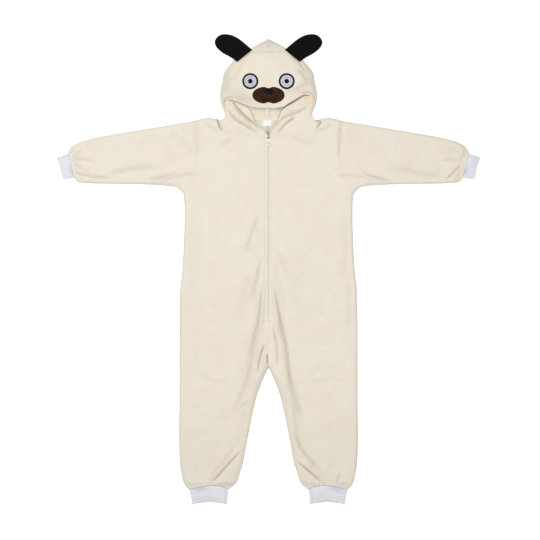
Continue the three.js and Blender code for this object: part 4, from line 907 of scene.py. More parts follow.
def cuff(kind, side, sizes):
    """A ribbed cuff: a flattened tube with round ribs on top, the height of a rib going as the square root
    of a sine. The free end is a soft fold that curls in, and the front layer's edge bows back from the
    end."""
    per_rib, ribs = 8, sizes["ribs"]
    share = np.linspace(-1, 1, per_rib * ribs + 1)
    rib = np.sqrt(np.abs(np.sin(np.pi * ribs * (share + 1) / 2)))
    round_top = np.sqrt(np.maximum(0, 1 - share ** 8))
    along = np.concatenate([np.linspace(0, 1, 14), np.full(5, 1.0)])
    curl = np.concatenate([np.zeros(14), np.linspace(0.28, 1.4, 5)])
    seam, end = np.array(sizes["seam"], float), np.array(sizes["end"], float)
    left = lerp(seam[0], end[0], along[:, None])
    right = lerp(seam[1], end[1], along[:, None])
    way = end.mean(axis=0) - seam.mean(axis=0)
    way = way / np.linalg.norm(way)
    ease = smooth(0, 0.12, along) * smooth(1.02, 0.9, along - curl * 0.04)
    top_share = (share[None, :, None] + 1) / 2
    top = lerp(left[:, None], right[:, None], top_share)
    bowed = sizes["bow"] * np.cos(np.pi * share / 2)[None, :] * along[:, None] ** 2
    top = top + way * (-bowed + 2.2 * np.sin(curl)[:, None])[..., None]
    swell = np.cos(2.1 * share[None, :] + side) - 0.8 * bell((share[None, :] - 0.5 + along[:, None]) / 0.3)
    hollow = 0.8 * np.sin(np.pi * along[:, None] * 1.3) * swell
    pressed = 2.4 * smooth(0.5, 1, along)[:, None]
    z_top = CUFF_LEVEL + (CUFF_LEVEL + RIB_HEIGHT * rib * ease[:, None] + hollow - pressed) * round_top
    z_top = z_top - 2.2 * (1 - np.cos(curl))[:, None] * round_top
    # Painted shade under the gathered edge, between the ribs and in the curled end, with the stitched seam's
    # line.
    gathered = 0.8 * bell((share[None, :] - 0.45) / 0.4) * smooth(0.5, 0.05, along)[:, None]
    stitched = 0.9 * bell((share[None, :] + 0.84) / 0.02)
    dark = np.maximum((1 - rib) * 0.35 * ease[:, None] * (round_top > 0), np.maximum(gathered, stitched))
    dark = np.maximum(dark, smooth(0.5, 1.2, curl)[:, None])
    low_share = np.linspace(1, -1, 24)
    out = np.clip((np.abs(low_share) - 0.9) / 0.1, 0, 1)
    z_low = CUFF_LEVEL * (1 - np.sqrt(1 - out ** 2))
    low = lerp(left[:, None], right[:, None], (low_share[None, :, None] + 1) / 2)
    bowed_back = 0.45 * sizes["bow"] * (1 - low_share[None, :] ** 2) * along[:, None] ** 2
    low = low + way * (0.4 * curl[:, None] - bowed_back)[..., None]
    z_low = z_low[None, :] + 0 * curl[:, None]
    if kind == "ankle":
        top[..., 1] += ankle_arch(top[..., 0], ANKLE_SEAM_Y) * (1 - along[:, None]) ** 1.5
    upper = plain_grid(top[..., 0], top[..., 1], z_top, dark)
    lower = plain_grid(low[..., 0], low[..., 1], z_low)
    lower[:, 0], lower[:, -1] = upper[:, -1], upper[:, 0]
    for grid in (upper, lower):
        grid[..., 0] *= side
    return cloth(f"cuff_{kind}_" + SIDES[side], [upper, lower], RIB_KNIT)


# Hood
def hood_index(point):
    """The number of the hood outline's point nearest to a given one."""
    return int(np.hypot(*(hood_line - point).T).argmin())


def hood_side(side):
    """A hood side in three grids: the loose cheek from the neck seam to the opening's hem, the strip from
    the outline to the face seam, and the back on the table."""
    which = SIDES[side]
    low_end, ear_top = hood_index(OPENING_LEVEL), hood_index(EAR_TOP)
    low_hood = resampled(hood_line[:low_end + 1], 40)
    side_hood = resampled(hood_line[low_end:ear_top + 1], 64)
    peak_hood = resampled(hood_line[ear_top:], 22)
    seam = face_seam(which, 64)
    top_seam = np.stack([np.linspace(seam[-1, 0], 0, 22), np.full(22, FACE_TOP)], axis=1)
    peak_hood[-1, 0] = 0
    inner = np.concatenate([seam, top_seam[1:]])
    outline = np.concatenate([side_hood, peak_hood[1:]])
    neck = offset_line(through(neck_seam, np.linspace(0, len(neck_seam) - 2, 110)), -HALF_GAP)
    starts = np.concatenate([neck[:-1], low_hood])
    ends = evenly([seam[0], *CHEEK_EDGE[which]], len(starts))[::-1]

    def section(a, b, share):
        """The front layer spanned between two lines of points."""
        places = lerp(a[:, None], b[:, None], share[None, :, None])
        near, _, _ = nearest(hood_line, places[..., 0], places[..., 1])
        near[near < 0.02] = 0
        return with_height(side * places[..., 0], places[..., 1], lambda x, y: hood_height(x, y, near))

    cheek = section(starts, ends, dense_ends(54, 0.7))
    hem_line = np.array(FACE_HEM, float)
    under_face = 6 * smooth(14, 0, nearest(hem_line, cheek[..., 0], cheek[..., 1])[0])
    under_face = under_face * smooth(146, 126, np.abs(cheek[..., 0]))
    cheek[..., 2] -= under_face * smooth(0, 0.3, np.linspace(0, 1, 54))[None, :]
    # Painted shade under the face panel's hem, as strong as the cheek dips there.
    cheek[..., 4] = np.clip(cheek[..., 4] + under_face / 9, 0, 1)
    cheek = with_hem(cheek, HEM_ROUND, HEM_DEPTH)
    strip = section(outline, inner, dense_ends(54, 0.7))
    back_outline = np.concatenate([low_hood[:-1], outline])
    rows = np.linspace(0, 1, len(back_outline))
    start_y = lerp(BACK_NECK["y"] + SEAM_GAP + 0.05, back_outline[:, 1], rows)
    share = 1 - dense_start(26, 0.85)[::-1]
    x = lerp(0, back_outline[:, :1], share[None, :])
    y = lerp(start_y[:, None], back_outline[:, 1:], share[None, :])
    near, _, _ = nearest(hood_line, x, y)
    near[:, -1] = 0
    # The hood back's inner face carries painted shade where the opening shows it.
    back = plain_grid(side * x, y, turned_up(near, SEAM_LEVEL), *inside_shade(side * x, y))
    back[len(low_hood) - 1:, -1] = strip[:, 0]
    joined_cheek = len(neck) - 1
    back[:len(low_hood), -1] = cheek[joined_cheek:, 0]
    return cloth("hood_side_" + which, [cheek, strip, back], FLEECE)


def hood_face():
    """The face panel with a turned hem over the opening. It is spanned between its four edges: the mean way
    from hem to top plus the mean way from side to side, less the straight patch between its corners."""
    across, rows = 110, 62
    hem = evenly(FACE_HEM, across)
    left = offset_line(face_seam("left", rows), -0.1) * [-1, 1]
    right = offset_line(face_seam("right", rows), -0.1)
    left[0], right[0] = hem[0], hem[-1]
    left[-1, 1] = right[-1, 1] = FACE_TOP + 0.1
    v = np.linspace(0, 1, rows)[:, None, None]
    u = np.linspace(0, 1, across)[None, :, None]
    top = lerp(left[-1], right[-1], u[0])
    places = (
        lerp(hem[None], top[None], v)
        + lerp(left[:, None], right[:, None], u)
        - lerp(lerp(hem[0], hem[-1], u), lerp(left[-1], right[-1], u), v)
    )
    near, _, _ = nearest(hood_line, np.abs(places[..., 0]), places[..., 1])
    grid = with_height(places[..., 0], places[..., 1], lambda x, y: hood_height(x, y, near))
    hem_first = with_hem(grid.transpose(1, 0, 2)[:, ::-1], FACE_HEM_ROUND, HEM_DEPTH)
    return cloth("hood_face", [hem_first], FLEECE)


def top_of_face(x, y):
    """The height of the hood's front layer under an appliqué."""
    near, _, _ = nearest(hood_line, np.abs(x), y)
    return hood_height(x, y, near)[0]


def closed_mesh(name, grid):
    """A mesh from a grid of points whose ends meet."""
    return add_mesh(name, *welded(grid.reshape(-1, 3), grid.shape[:2]))


def applique(name, middle, outline_at, thick_at, under, rings=14, segments=96):
    """A flat or padded shape sewn on: rings round its middle, its top a thickness above what it lies on
    and its underside on it."""
    angle = 2 * np.pi * np.arange(segments + 1) / segments
    angle[-1] = 0
    ring = 1 - dense_start(rings, 0.7)
    dx, dy = outline_at(angle)
    x = middle[0] + ring[:, None] * dx[None, :]
    y = middle[1] + ring[:, None] * dy[None, :]
    low = under(x, y)
    edge = 0.5 * (1 - np.sqrt(np.clip(1 - ((ring - 0.94) / 0.06).clip(0, 1) ** 2, 0, 1)))[:, None]
    thick = thick_at(ring[:, None] + 0 * x, x - middle[0])
    top = np.stack([x, y, low + thick * (1 - edge)], axis=-1)
    bottom = np.stack([x, y, low], axis=-1)
    return closed_mesh(name, np.concatenate([top[::-1], bottom]))


# Pieces of cloth, by name
made = {}
for side in SIDES:
    for kind, piece in (
        ("front_", front_panel(side)),
        ("back_", back_panel(side)),
        ("sleeve_", sleeve(side)),
        ("cuff_wrist_", cuff("wrist", side, WRIST)),
        ("cuff_ankle_", cuff("ankle", side, ANKLE)),
        ("hood_side_", hood_side(side)),
    ):
        made[kind + SIDES[side]] = piece
made["hood_face"] = hood_face()


# Ears
def ear(side):
    """An ear of two layers of plush: spans from its seam to its outline, thick in the middle, lying over
    the hood and drooping outwards past its edge."""
    outline = evenly(EAR_OUTLINE, 90)
    along = np.linspace(0, 1, 90)[:, None]
    base = lerp(outline[0], outline[-1], along)
    share = 1 - dense_start(34, 0.75)[::-1]
    places = lerp(base[:, None], outline[:, None], share[None, :, None])
    x, y = places[..., 0], places[..., 1]
    near, which, _ = nearest(hood_line, x, y)
    inside = near * which
    drooping = SEAM_LEVEL + HOOD_RISE + EAR["clear"] - EAR["droop"] * np.maximum(0, HOOD_ROLL - inside)
    lying = hood_height(side * x, y, np.where(near < 0.33, 0, near))[0] + EAR["clear"]
    low = np.where(inside > 2, np.maximum(drooping, lying), drooping)
    from_edge, _, _ = nearest(outline, x, y)
    thick = EAR["rim"] + EAR["swell"] * smooth(0, 16, from_edge)
    rim = np.clip(1 - from_edge / 2.0, 0, 1)
    thick = thick * np.sqrt(1 - 0.9 * rim ** 2) + 0.4 * undulation(x, y, 22, 0.5, 3.1)
    top = np.stack([side * x, y, low + thick], axis=-1)
    bottom = np.stack([side * x, y, low], axis=-1)
    return closed_mesh("ear_" + SIDES[side], np.concatenate([top, bottom[:, ::-1], top[:, :1]], axis=1))


for side in SIDES:
    made["ear_" + SIDES[side]] = ear(side)


# Appliqué face
def circle(radius):
    """A circle's outline by its angle."""
    return lambda angle: (radius * np.cos(angle), radius * np.sin(angle))


def lobed(x):
    """How far the muzzle's height dips at the middle: by a fifth, in a bell with 11 mm as its width."""
    return 1 - 0.2 * bell(x / 11)


def muzzle_outline(angle):
    """Two rounded lobes side by side."""
    x = MUZZLE["half_width"] * np.cos(angle)
    return x, MUZZLE["half_height"] * lobed(x) * squared_off(np.sin(angle), 0.9)


def muzzle_swell(ring, x):
    """The padding of the muzzle over its rim, with a dip between the lobes."""
    dip = 0.35 * bell(x / 8)
    return MUZZLE["rim"] + MUZZLE["swell"] * np.maximum(0, 1 - ring * ring) ** 0.7 * (1 - dip)


def muzzle_top(x, y):
    """The height of the muzzle's padded face, from the ring of its outline that a point lies on."""
    low, high = np.abs(x) / MUZZLE["half_width"], np.full(np.shape(x), 1.2)
    for _ in range(20):
        ring = (low + high) / 2
        across = np.clip(np.abs(x) / (ring * MUZZLE["half_width"]), 0, 1)
        reach = ring * MUZZLE["half_height"] * lobed(x / ring) * (1 - across ** 2) ** 0.45
        outside = reach > np.abs(y - MUZZLE["y"])
        low, high = np.where(outside, low, ring), np.where(outside, ring, high)
    padding = MUZZLE["swell"] * np.maximum(0, 1 - high * high) ** 0.7
    return top_of_face(x, y) + ON_CLOTH + MUZZLE["rim"] + padding


def nose_outline(angle):
    """An oval that is wider at the top."""
    wider = 1 + 0.22 * np.sin(angle)
    return NOSE["half_width"] * wider * np.cos(angle), NOSE["half_height"] * np.sin(angle)


def on_face(lift):
    """The height of the face with a lift, as a function."""
    return lambda x, y: top_of_face(x, y) + ON_CLOTH + lift


def domed(thick):
    """The thickness of a felt shape by its ring: the felt's own at the edge, and rising to the given one
    in the middle as 1 less the ring squared."""
    return lambda ring, x: FELT + (thick - FELT) * (1 - ring * ring)


for side in SIDES:
    for layer, (part, thick) in enumerate((("rim", FELT), ("white", FELT), ("pupil", 2 * FELT))):
        name = f"eye_{part}_{SIDES[side]}"
        made[name] = applique(
            name, (side * EYE["x"], EYE["y"]), circle(EYE[part]), domed(thick), on_face(FELT_STEP * layer))
made["muzzle"] = applique(
    "muzzle", (0, MUZZLE["y"]), muzzle_outline, muzzle_swell, on_face(0), rings=26, segments=160)
made["nose"] = applique(
    "nose", (0, NOSE["y"]), nose_outline, domed(NOSE["thick"]), lambda x, y: muzzle_top(x, y) - 0.4)


# Label
def label():
    """The blank label: a thin satin strip with a slight curl at its lower edge."""
    u = np.linspace(-0.5, 0.5, 24)
    v = np.linspace(-0.5, 0.5, 20)
    x = LABEL["x"] + LABEL["width"] * u[None, :] + 0 * v[:, None]
    y = LABEL["y"] + LABEL["height"] * v[:, None] + 0 * u[None, :]
    curl = smooth(0.1, -0.5, v)[:, None] * (0.6 + 0.4 * np.cos(5 * u))[None, :]
    return cloth("label", [plain_grid(x, y, FLEECE + LABEL["lift"] + LABEL["curl"] * curl)], LABEL["thick"])


made["label"] = label()


# Seam tapes inside the hood and zip tapes
def tape(name, xs, ys, top):
    """A strip of tape between two lines of x and two of y, its top at a level and bowed across by half a
    sine wave."""
    u = np.linspace(0, 1, 40)[:, None]
    v = np.linspace(0, 1, 9)[None, :]
    long_way = abs(xs[1] - xs[0]) > abs(ys[1] - ys[0])
    x = lerp(xs[0], xs[1], u if long_way else v) + 0 * (u + v)
    y = lerp(ys[0], ys[1], v if long_way else u) + 0 * (u + v)
    return cloth(name, [plain_grid(x, y, top + 0.25 * np.sin(np.pi * v))], TAPE_THICK)


tapes = [
    tape("hood_seam_tape", (-9.5, 2), (500, 575), FLEECE + 1.3),
    tape("neck_seam_tape", (-64, 50), (491, 501.5), FLEECE + 1.0),
]
for side in SIDES:
    name = "zip_tape_" + SIDES[side]
    xs = (side * ZIP_TAPE["inner"], side * ZIP_TAPE["outer"])
    made[name] = tape(name, xs, (ZIP_BOTTOM - 5, ZIP_TAPE["top"]), ZIP_TAPE["level"])


# Zip
def copied(faces, corners, count):
    """The triangles of count copies of a block with so many corners."""
    return (faces[None] + corners * np.arange(count)[:, None, None]).reshape(-1, 3)


def rounded_block(size, power):
    """A block as a ball pulled towards a box: a grid over the sphere whose sines and cosines are raised to a
    power."""
    turn = np.linspace(0, 2 * np.pi, 13)
    climb = np.linspace(-np.pi / 2, np.pi / 2, 7)
    raised = [squared_off(v, power) for v in (np.cos(turn), np.sin(turn), np.cos(climb), np.sin(climb))]
    x = raised[2][:, None] * raised[0][None, :]
    y = raised[2][:, None] * raised[1][None, :]
    z = raised[3][:, None] + 0 * x
    table = (np.stack([x, y, z], axis=-1) * np.array(size)).reshape(-1, 3)
    return welded(table, x.shape)


def zip_teeth():
    """Moulded teeth, left and right in turn, each a rounded block that reaches past the middle."""
    count = int((SLIDER["low"] - 2 - ZIP_BOTTOM) / TOOTH_PITCH)
    size = (TOOTH["length"] / 2, TOOTH["half"], (TOOTH["high"] - TOOTH["low"]) / 2)
    corners, faces = rounded_block(size, 0.45)
    y = ZIP_BOTTOM + 1.5 + TOOTH_PITCH * np.arange(count)
    away = TOOTH["length"] / 2 - TOOTH["reach"]
    height = (TOOTH["high"] + TOOTH["low"]) / 2
    left = np.stack([np.full(count, -away), y, np.full(count, height)], axis=1)
    right = np.stack([np.full(count, away), y + TOOTH_PITCH / 2, np.full(count, height)], axis=1)
    points = (np.concatenate([left, right])[:, None] + corners[None]).reshape(-1, 3)
    return add_mesh("zip_chain", points, copied(faces, len(corners), 2 * count))


def merged(parts):
    """The points and triangles of several closed shells in one list."""
    points, triangles, start = [], [], 0
    for p, t in parts:
        points.append(p)
        triangles.append(t + start)
        start += len(p)
    return np.concatenate(points), np.concatenate(triangles)


def shield(levels):
    """A slider plate: an outline with squared-off sines, wider at its top end, that shrinks by the root of a
    cosine towards the lower and the upper level."""
    angle = np.linspace(0, 2 * np.pi, 49)
    x = SLIDER["half"] * squared_off(np.cos(angle), 0.6) * (1 + 0.18 * np.sin(angle))
    y = (SLIDER["top"] - SLIDER["low"]) / 2 * squared_off(np.sin(angle), 0.6)
    climb = np.linspace(-np.pi / 2, np.pi / 2, 11)
    out = np.cos(climb)[:, None] ** 0.5
    height = (levels[0] + levels[1]) / 2 + (levels[1] - levels[0]) / 2 * np.sin(climb)
    middle_y = (SLIDER["top"] + SLIDER["low"]) / 2
    grid = np.stack([out * x, middle_y + out * y, height[:, None] + 0 * x], axis=-1)
    return welded(grid.reshape(-1, 3), grid.shape[:2])


def tube(line, radii, sides=12, closed=False):
    """An oval tube along a line of points: across it the first radius and upwards the second. An open tube
    closes at its ends by the root of 1 less the 16th power of the share along it."""
    p = np.asarray(line, float)
    along = np.roll(p, -1, axis=0) - np.roll(p, 1, axis=0) if closed else np.gradient(p, axis=0)
    along /= np.linalg.norm(along, axis=1)[:, None]
    guide = np.array([0, 0, 1.0]) if np.abs(along[:, 2]).max() < 0.9 else np.array([1.0, 0, 0])
    across = np.cross(along, guide)
    across /= np.linalg.norm(across, axis=1)[:, None]
    up = np.cross(across, along)
    angle = np.linspace(0, 2 * np.pi, sides + 1)
    rounded = np.sqrt(np.clip(1 - np.abs(np.linspace(-1, 1, len(p))) ** 16, 0, 1))[:, None, None]
    size = 1.0 if closed else rounded
    level_part = radii[0] * across[:, None] * np.cos(angle)[None, :, None]
    upright_part = radii[1] * up[:, None] * np.sin(angle)[None, :, None]
    ring = p[:, None] + size * (level_part + upright_part)
    ring[:, -1] = ring[:, 0]
    if closed:
        ring = np.concatenate([ring, ring[:1]])
    return welded(ring.reshape(-1, 3), ring.shape[:2])


def slider():
    """The slider: two rounded plates joined by a web, with an arched bridge for the pull."""
    middle_y = (SLIDER["low"] + SLIDER["top"]) / 2
    web_points, web_faces = rounded_block((SLIDER["web"], 4.5, 1.2), 0.4)
    web_points = web_points + [0, middle_y, (SLIDER["lower"][1] + SLIDER["upper"][0]) / 2]
    angle = np.linspace(0, np.pi, 25)
    base = SLIDER["upper"][1] - 0.3
    rise = BRIDGE["top"] - BRIDGE["thick"] / 2 - base
    arch = np.stack([
        0 * angle,
        PULL["pivot_y"] - (BRIDGE["reach"] - 0.4) * squared_off(np.cos(angle), 0.6),
        base + rise * np.sin(angle) ** 0.6,
    ], axis=1)
    return add_mesh("zip_slider", *merged([
        shield(SLIDER["lower"]), (web_points, web_faces), shield(SLIDER["upper"]),
        tube(arch, (BRIDGE["half"], BRIDGE["thick"] / 2)),
    ]))


def pull():
    """The pull: a wire loop through the bridge, as a rounded oblong, with a small domed plate at its end."""
    angle = np.linspace(0, 2 * np.pi, 73)[:-1]
    top, low = PULL["pivot_y"], PULL["pivot_y"] - PULL["length"]
    half_length = (top - low) / 2
    loop = np.stack([
        (PULL["half"] - PULL["wire"]) * squared_off(np.cos(angle), 0.6),
        (top + low + PULL["wire"]) / 2 + (half_length - PULL["wire"] / 2) * squared_off(np.sin(angle), 0.45),
        np.full(len(angle), float(PULL["pivot_z"])),
    ], axis=1)
    half_plate = (PULL["length"] - PULL["plate_from"]) / 2
    plate_points, plate_faces = rounded_block((PULL["half"] - 0.5, half_plate, 0.6), 0.5)
    plate_points = plate_points + [0, low + half_plate, PULL["pivot_z"]]
    wire = tube(loop, (PULL["wire"], PULL["wire"]), closed=True)
    return add_mesh("zip_pull", *merged([wire, (plate_points, plate_faces)]))


def stitches(name, lines, height_of):
    """Rows of stitches: short threads, each a stretched ball half sunk in the cloth, at equal steps along
    lines."""
    corners, faces = rounded_block((STITCH["length"] / 2, STITCH["half"], STITCH["half"]), 0.8)
    step = STITCH["length"] + STITCH["gap"]
    rows = []
    for line in lines:
        count = int(run_along(line)[-1] / step)
        middle = (np.arange(count) + 0.5) * step
        place = at_lengths(line, middle)
        way = at_lengths(line, middle + 0.5) - at_lengths(line, middle - 0.5)
        way = way / np.linalg.norm(way, axis=1)[:, None]
        square = np.stack([-way[:, 1], way[:, 0]], axis=1)
        level = height_of(place[:, 0], place[:, 1])
        level_part = place[:, None] + corners[:, :1] * way[:, None] + corners[:, 1:2] * square[:, None]
        z = level[:, None] + corners[:, 2]
        points = np.concatenate([level_part, z[..., None]], axis=2).reshape(-1, 3)
        rows.append((points, copied(faces, len(corners), count)))
    return add_mesh(name, *merged(rows))


mouth_line = evenly(MOUTH["line"], 70)
mouth_points = np.column_stack([mouth_line, muzzle_top(*mouth_line.T) + 0.2])
made["mouth"] = add_mesh("mouth", *tube(mouth_points, (MOUTH["half"], MOUTH["half"]), sides=8))
made["zip_chain"] = zip_teeth()
made["zip_slider"] = slider()
made["zip_pull"] = pull()
zip_lines = [
    np.stack([np.full(60, side * TOPSTITCH), np.linspace(426, ZIP_BOTTOM - 2, 60)], axis=1).astype(float)
    for side in SIDES
]
zip_lines.append(np.array([(-TOPSTITCH, ZIP_BOTTOM - 3), (TOPSTITCH, ZIP_BOTTOM - 3)], float))
zip_stitches = stitches("zip_stitches", zip_lines, lambda x, y: chest_height(x, y)[0] + HALF_GAP)


# Materials
def new_material(name):
    """An empty node material with its shader and the coordinates of the piece."""
    material = bpy.data.materials.new(name)
    material.use_nodes = True
    nodes, links = material.node_tree.nodes, material.node_tree.links
    shader = nodes["Principled BSDF"]
    place = nodes.new("ShaderNodeTexCoord").outputs["Object"]
    return material, nodes, links, shader, place


def noise(nodes, links, place, scale, detail=2, rough=0.5):
    """A noise pattern on the given coordinates."""
    node = nodes.new("ShaderNodeTexNoise")
    node.inputs["Scale"].default_value = scale
    node.inputs["Detail"].default_value = detail
    node.inputs["Roughness"].default_value = rough
    links.new(place, node.inputs["Vector"])
    return node.outputs["Fac"]


def ramp(nodes, links, value, stops):
    """A colour ramp over a value. stops are pairs of a place and a colour."""
    node = nodes.new("ShaderNodeValToRGB")
    elements = node.color_ramp.elements
    elements[0].position, elements[1].position = stops[0][0], stops[-1][0]
    elements[0].color, elements[1].color = (*stops[0][1], 1), (*stops[-1][1], 1)
    for position, colour in stops[1:-1]:
        element = elements.new(position)
        element.color = (*colour, 1)
    links.new(value, node.inputs["Fac"])
    return node.outputs["Color"]


def mix(nodes, links, share, a, b, how="MIX"):
    """Two colours mixed by a share, each a socket or a plain colour."""
    node = nodes.new("ShaderNodeMix")
    node.data_type = "RGBA"
    node.blend_type = how
    for socket, value in ((node.inputs[0], share), (node.inputs[6], a), (node.inputs[7], b)):
        if isinstance(value, tuple):
            socket.default_value = (*value, 1)
        elif isinstance(value, (int, float)):
            socket.default_value = value
        else:
            links.new(value, socket)
    return node.outputs[2]


def carried(nodes, name):
    """The value that a mesh carries under a name."""
    node = nodes.new("ShaderNodeAttribute")
    node.attribute_name = name
    return node.outputs["Fac"]


def settle(shader, values):
    """Gives sockets of a shader their plain values."""
    for name, value in values.items():
        shader.inputs[name].default_value = value


def bumps(nodes, links, shader, layers):
    """Bump layers one on the other: pairs of a height socket and its depth in metres."""
    normal = None
    for height, depth in layers:
        node = nodes.new("ShaderNodeBump")
        node.inputs["Strength"].default_value = 1
        node.inputs["Distance"].default_value = depth
        links.new(height, node.inputs["Height"])
        if normal is not None:
            links.new(normal, node.inputs["Normal"])
        normal = node.outputs["Normal"]
    links.new(normal, shader.inputs["Normal"])


def fleece_material(name, light, dim, inside, painted_glow, hollow, crease):
    """Fleece: mottled in soft clouds and fine pile, with a faint sheen, painted shade in creases, hollows
    and on inner faces, and painted warm glow beside folds.
    """
    material, nodes, links, shader, place = new_material(name)
    clouds = noise(nodes, links, place, 42, 3, 0.6)
    pile = noise(nodes, links, place, 260, 3, 0.65)
    tufts = noise(nodes, links, place, 95)
    wide = noise(nodes, links, place, 9)
    colour = ramp(nodes, links, clouds, [(0.3, dim), (0.7, light)])
    fine = ramp(nodes, links, pile, [(0.3, (0.965, 0.96, 0.955)), (0.7, (1.0, 1.0, 1.0))])
    colour = mix(nodes, links, 1.0, colour, fine, "MULTIPLY")
    warm = ramp(nodes, links, wide, [(0.35, (1.0, 0.985, 0.965)), (0.65, (1.0, 1.0, 1.0))])
    colour = mix(nodes, links, 1.0, colour, warm, "MULTIPLY")
    # Tones mixed in by the marks: painted shade on inner faces, in hollows and in crease lines, and painted
    # glow.
    for where, tone in (("inside", inside), ("hollow", hollow), ("painted_glow", painted_glow), ("crease", crease)):
        colour = mix(nodes, links, carried(nodes, where), colour, tone)
    links.new(colour, shader.inputs["Base Color"])
    settle(shader, {
        "Roughness": 0.95, "Specular IOR Level": 0.15,
        "Sheen Weight": 0.05, "Sheen Roughness": 0.6,
    })
    bumps(nodes, links, shader, [(tufts, 0.0009), (pile, 0.0007)])
    return material


def rib_material(name, light, dim, valley):
    """Rib knit: pale cotton with painted shade between the ribs, under the gathered edge and in the curled
    end, the dark line of its stitched seam, and the small stitches of the knit.
    """
    material, nodes, links, shader, place = new_material(name)
    mottle = noise(nodes, links, place, 120, 3, 0.6)
    colour = ramp(nodes, links, mottle, [(0.3, dim), (0.7, light)])
    links.new(mix(nodes, links, carried(nodes, "crease"), colour, valley), shader.inputs["Base Color"])
    settle(shader, {"Roughness": 0.85, "Specular IOR Level": 0.2})
    bumps(nodes, links, shader, [(noise(nodes, links, place, 520, 1), 0.0005)])
    return material


def plush_material(name, light, dim, pile_size=330, depth=0.0012):
    """Short dark plush or felt: mottled pile with a sheen."""
    material, nodes, links, shader, place = new_material(name)
    pile = noise(nodes, links, place, pile_size, 3, 0.6)
    clouds = noise(nodes, links, place, 70)
    colour = ramp(nodes, links, clouds, [(0.35, dim), (0.68, light)])
    fine = ramp(nodes, links, pile, [(0.35, (0.6, 0.6, 0.6)), (0.65, (1.0, 1.0, 1.0))])
    links.new(mix(nodes, links, 1.0, colour, fine, "MULTIPLY"), shader.inputs["Base Color"])
    settle(shader, {"Roughness": 0.9, "Specular IOR Level": 0.12, "Sheen Weight": 0.03})
    bumps(nodes, links, shader, [(clouds, 0.002), (pile, depth)])
    return material


def smooth_material(name, light, dim, roughness, scale, depth=0.0001):
    """A smooth surface such as enamelled metal, satin or tape, with a little unevenness."""
    material, nodes, links, shader, place = new_material(name)
    mottle = noise(nodes, links, place, scale, 3)
    links.new(ramp(nodes, links, mottle, [(0.3, dim), (0.7, light)]), shader.inputs["Base Color"])
    settle(shader, {"Roughness": roughness, "Metallic": 0})
    bumps(nodes, links, shader, [(mottle, depth)])
    return material


# The fleece's own colours, then the tones of its painted shade inside, painted glow, painted hollow and
# crease shade.
FLEECE_LOOK = fleece_material(
    "cream_fleece", light=(0.77, 0.717, 0.623), dim=(0.748, 0.692, 0.596), inside=(0.755, 0.67, 0.555),
    painted_glow=(0.80, 0.64, 0.47), hollow=(0.60, 0.553, 0.472), crease=(0.28, 0.215, 0.145))
# The rib's own colours, and the darker tone of its painted shade and stitched seam.
RIB_LOOK = rib_material("pale_rib_knit", (0.745, 0.745, 0.80), (0.705, 0.705, 0.76), (0.52, 0.52, 0.60))
PLUSH_LOOK = plush_material("black_plush", (0.0042, 0.0042, 0.0045), (0.0025, 0.0025, 0.003))
FELT_LOOK = plush_material("black_felt", (0.014, 0.013, 0.013), (0.006, 0.006, 0.006), 600, 0.0005)
PALE_LOOK = plush_material("pale_felt", (0.62, 0.655, 0.745), (0.57, 0.61, 0.71), 600, 0.0004)
BROWN_LOOK = plush_material("brown_fleece", (0.060, 0.022, 0.011), (0.036, 0.014, 0.008))
TAPE_LOOK = smooth_material("woven_tape", (0.66, 0.60, 0.50), (0.56, 0.50, 0.41), 0.85, 900, 0.0002)
CHAIN_LOOK = smooth_material("moulded_teeth", (0.78, 0.75, 0.68), (0.70, 0.67, 0.60), 0.45, 300)
METAL_LOOK = smooth_material("enamelled_metal", (0.82, 0.81, 0.78), (0.72, 0.71, 0.68), 0.3, 160)
LABEL_LOOK = smooth_material("label_satin", (0.80, 0.81, 0.80), (0.74, 0.75, 0.75), 0.55, 700)
THREAD_LOOK = smooth_material("cream_thread", (0.74, 0.68, 0.58), (0.66, 0.60, 0.50), 0.7, 800)

looks = [
    (("front_", "back_", "sleeve_", "hood_"), FLEECE_LOOK, "fleece"),
    (("cuff_",), RIB_LOOK, "rib_knit"),
    (("ear_",), PLUSH_LOOK, "black_plush"),
    (("eye_rim", "eye_pupil", "nose", "mouth"), FELT_LOOK, "black_felt"),
    (("eye_white",), PALE_LOOK, "pale_felt"),
    (("muzzle",), BROWN_LOOK, "brown_fleece"),
    (("zip_tape",), TAPE_LOOK, "zip_tape"),
    (("zip_chain",), CHAIN_LOOK, "zip_chain"),
    (("zip_slider", "zip_pull"), METAL_LOOK, "zip_metal"),
    (("label",), LABEL_LOOK, "label"),
]


def finish_piece(piece, name):
    """Gives a piece the look that its name calls for."""
    for starts, material, slot in looks:
        if name.startswith(starts):
            piece.data.materials.clear()
            piece.data.materials.append(material)
            return


for name, piece in made.items():
    finish_piece(piece, name)
    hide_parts(name)
    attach(piece, "pull_tab" if name == "zip_pull" else "garment")
for piece in (zip_stitches, *tapes):
    piece.data.materials.append(THREAD_LOOK if piece == zip_stitches else FLEECE_LOOK)
    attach(piece, "garment")

# The parts from model.glb that no piece here replaces take the look their name calls for.
for name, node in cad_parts.items():
    if name not in made:
        finish_piece(node, name)

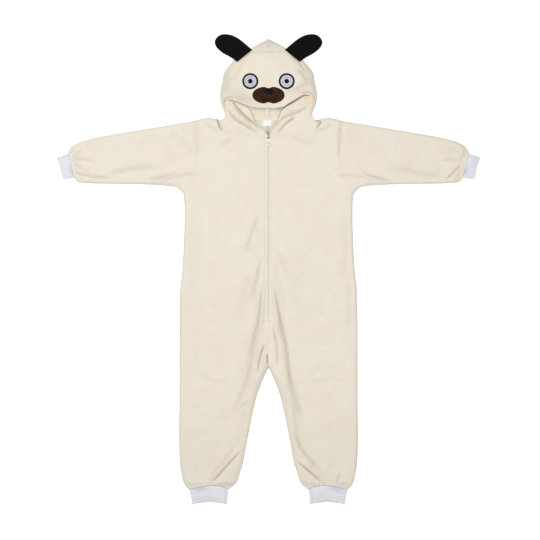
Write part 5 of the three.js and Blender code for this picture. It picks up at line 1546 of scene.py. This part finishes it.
# Camera, light and table, in metres, apart from the width of the camera's SENSOR in millimetres. The
# picture is PICTURE_WIDTH wide at PICTURE_LEVEL.
TABLE_LEVEL = -0.0004
SENSOR = 36
CAMERA_HEIGHT = 12
PICTURE_MIDDLE = (0.00495, -0.0033)
PICTURE_WIDTH = 1.782
PICTURE_LEVEL = 0.008
scene = bpy.context.scene
camera_data = bpy.data.cameras.new("camera")
camera_data.sensor_width = SENSOR
camera_data.lens = SENSOR * (CAMERA_HEIGHT - PICTURE_LEVEL) / PICTURE_WIDTH
camera_data.clip_end = 200
camera = bpy.data.objects.new("camera", camera_data)
camera.location = (*PICTURE_MIDDLE, CAMERA_HEIGHT)
scene.collection.objects.link(camera)
scene.camera = camera
scene.view_settings.view_transform = "Standard"


def area_light(name, place, size, power, colour):
    """A square soft light at a place, turned towards the middle of the table."""
    data = bpy.data.lights.new(name, "AREA")
    data.size = size
    data.energy = power
    data.color = colour
    light = bpy.data.objects.new(name, data)
    light.location = place
    light.rotation_mode = "QUATERNION"
    light.rotation_quaternion = (-Vector(place)).to_track_quat("-Z", "Y")
    scene.collection.objects.link(light)


area_light("overhead", (0, 0.02, 4.2), 2.2, 157, (1.0, 0.995, 0.985))
area_light("window", (-1.8, 2.4, 2.6), 1.6, 36, (0.97, 0.985, 1.0))
world = bpy.data.worlds.new("studio")
world.use_nodes = True
settle(world.node_tree.nodes["Background"], {"Color": (1, 1, 1, 1), "Strength": 0.16})
scene.world = world


def table_material():
    """The white table: faintly mottled, and lit a little from within so that it stays white."""
    material, nodes, links, shader, place = new_material("white_table")
    grain = noise(nodes, links, place, 3)
    tones = ramp(nodes, links, grain, [(0.3, (0.88, 0.88, 0.88)), (0.7, (0.9, 0.9, 0.9))])
    links.new(tones, shader.inputs["Base Color"])
    settle(shader, {
        "Roughness": 0.9, "Specular IOR Level": 0.1,
        "Emission Color": (1, 1, 1, 1), "Emission Strength": 0.3,
    })
    return material


floor_mesh = bpy.data.meshes.new("table")
corners = [(x, y, TABLE_LEVEL) for x, y in ((-8, -8), (8, -8), (8, 8), (-8, 8))]
floor_mesh.from_pydata(corners, [], [(0, 1, 2, 3)])
floor_mesh.materials.append(table_material())
table_top = bpy.data.objects.new("table", floor_mesh)
scene.collection.objects.link(table_top)
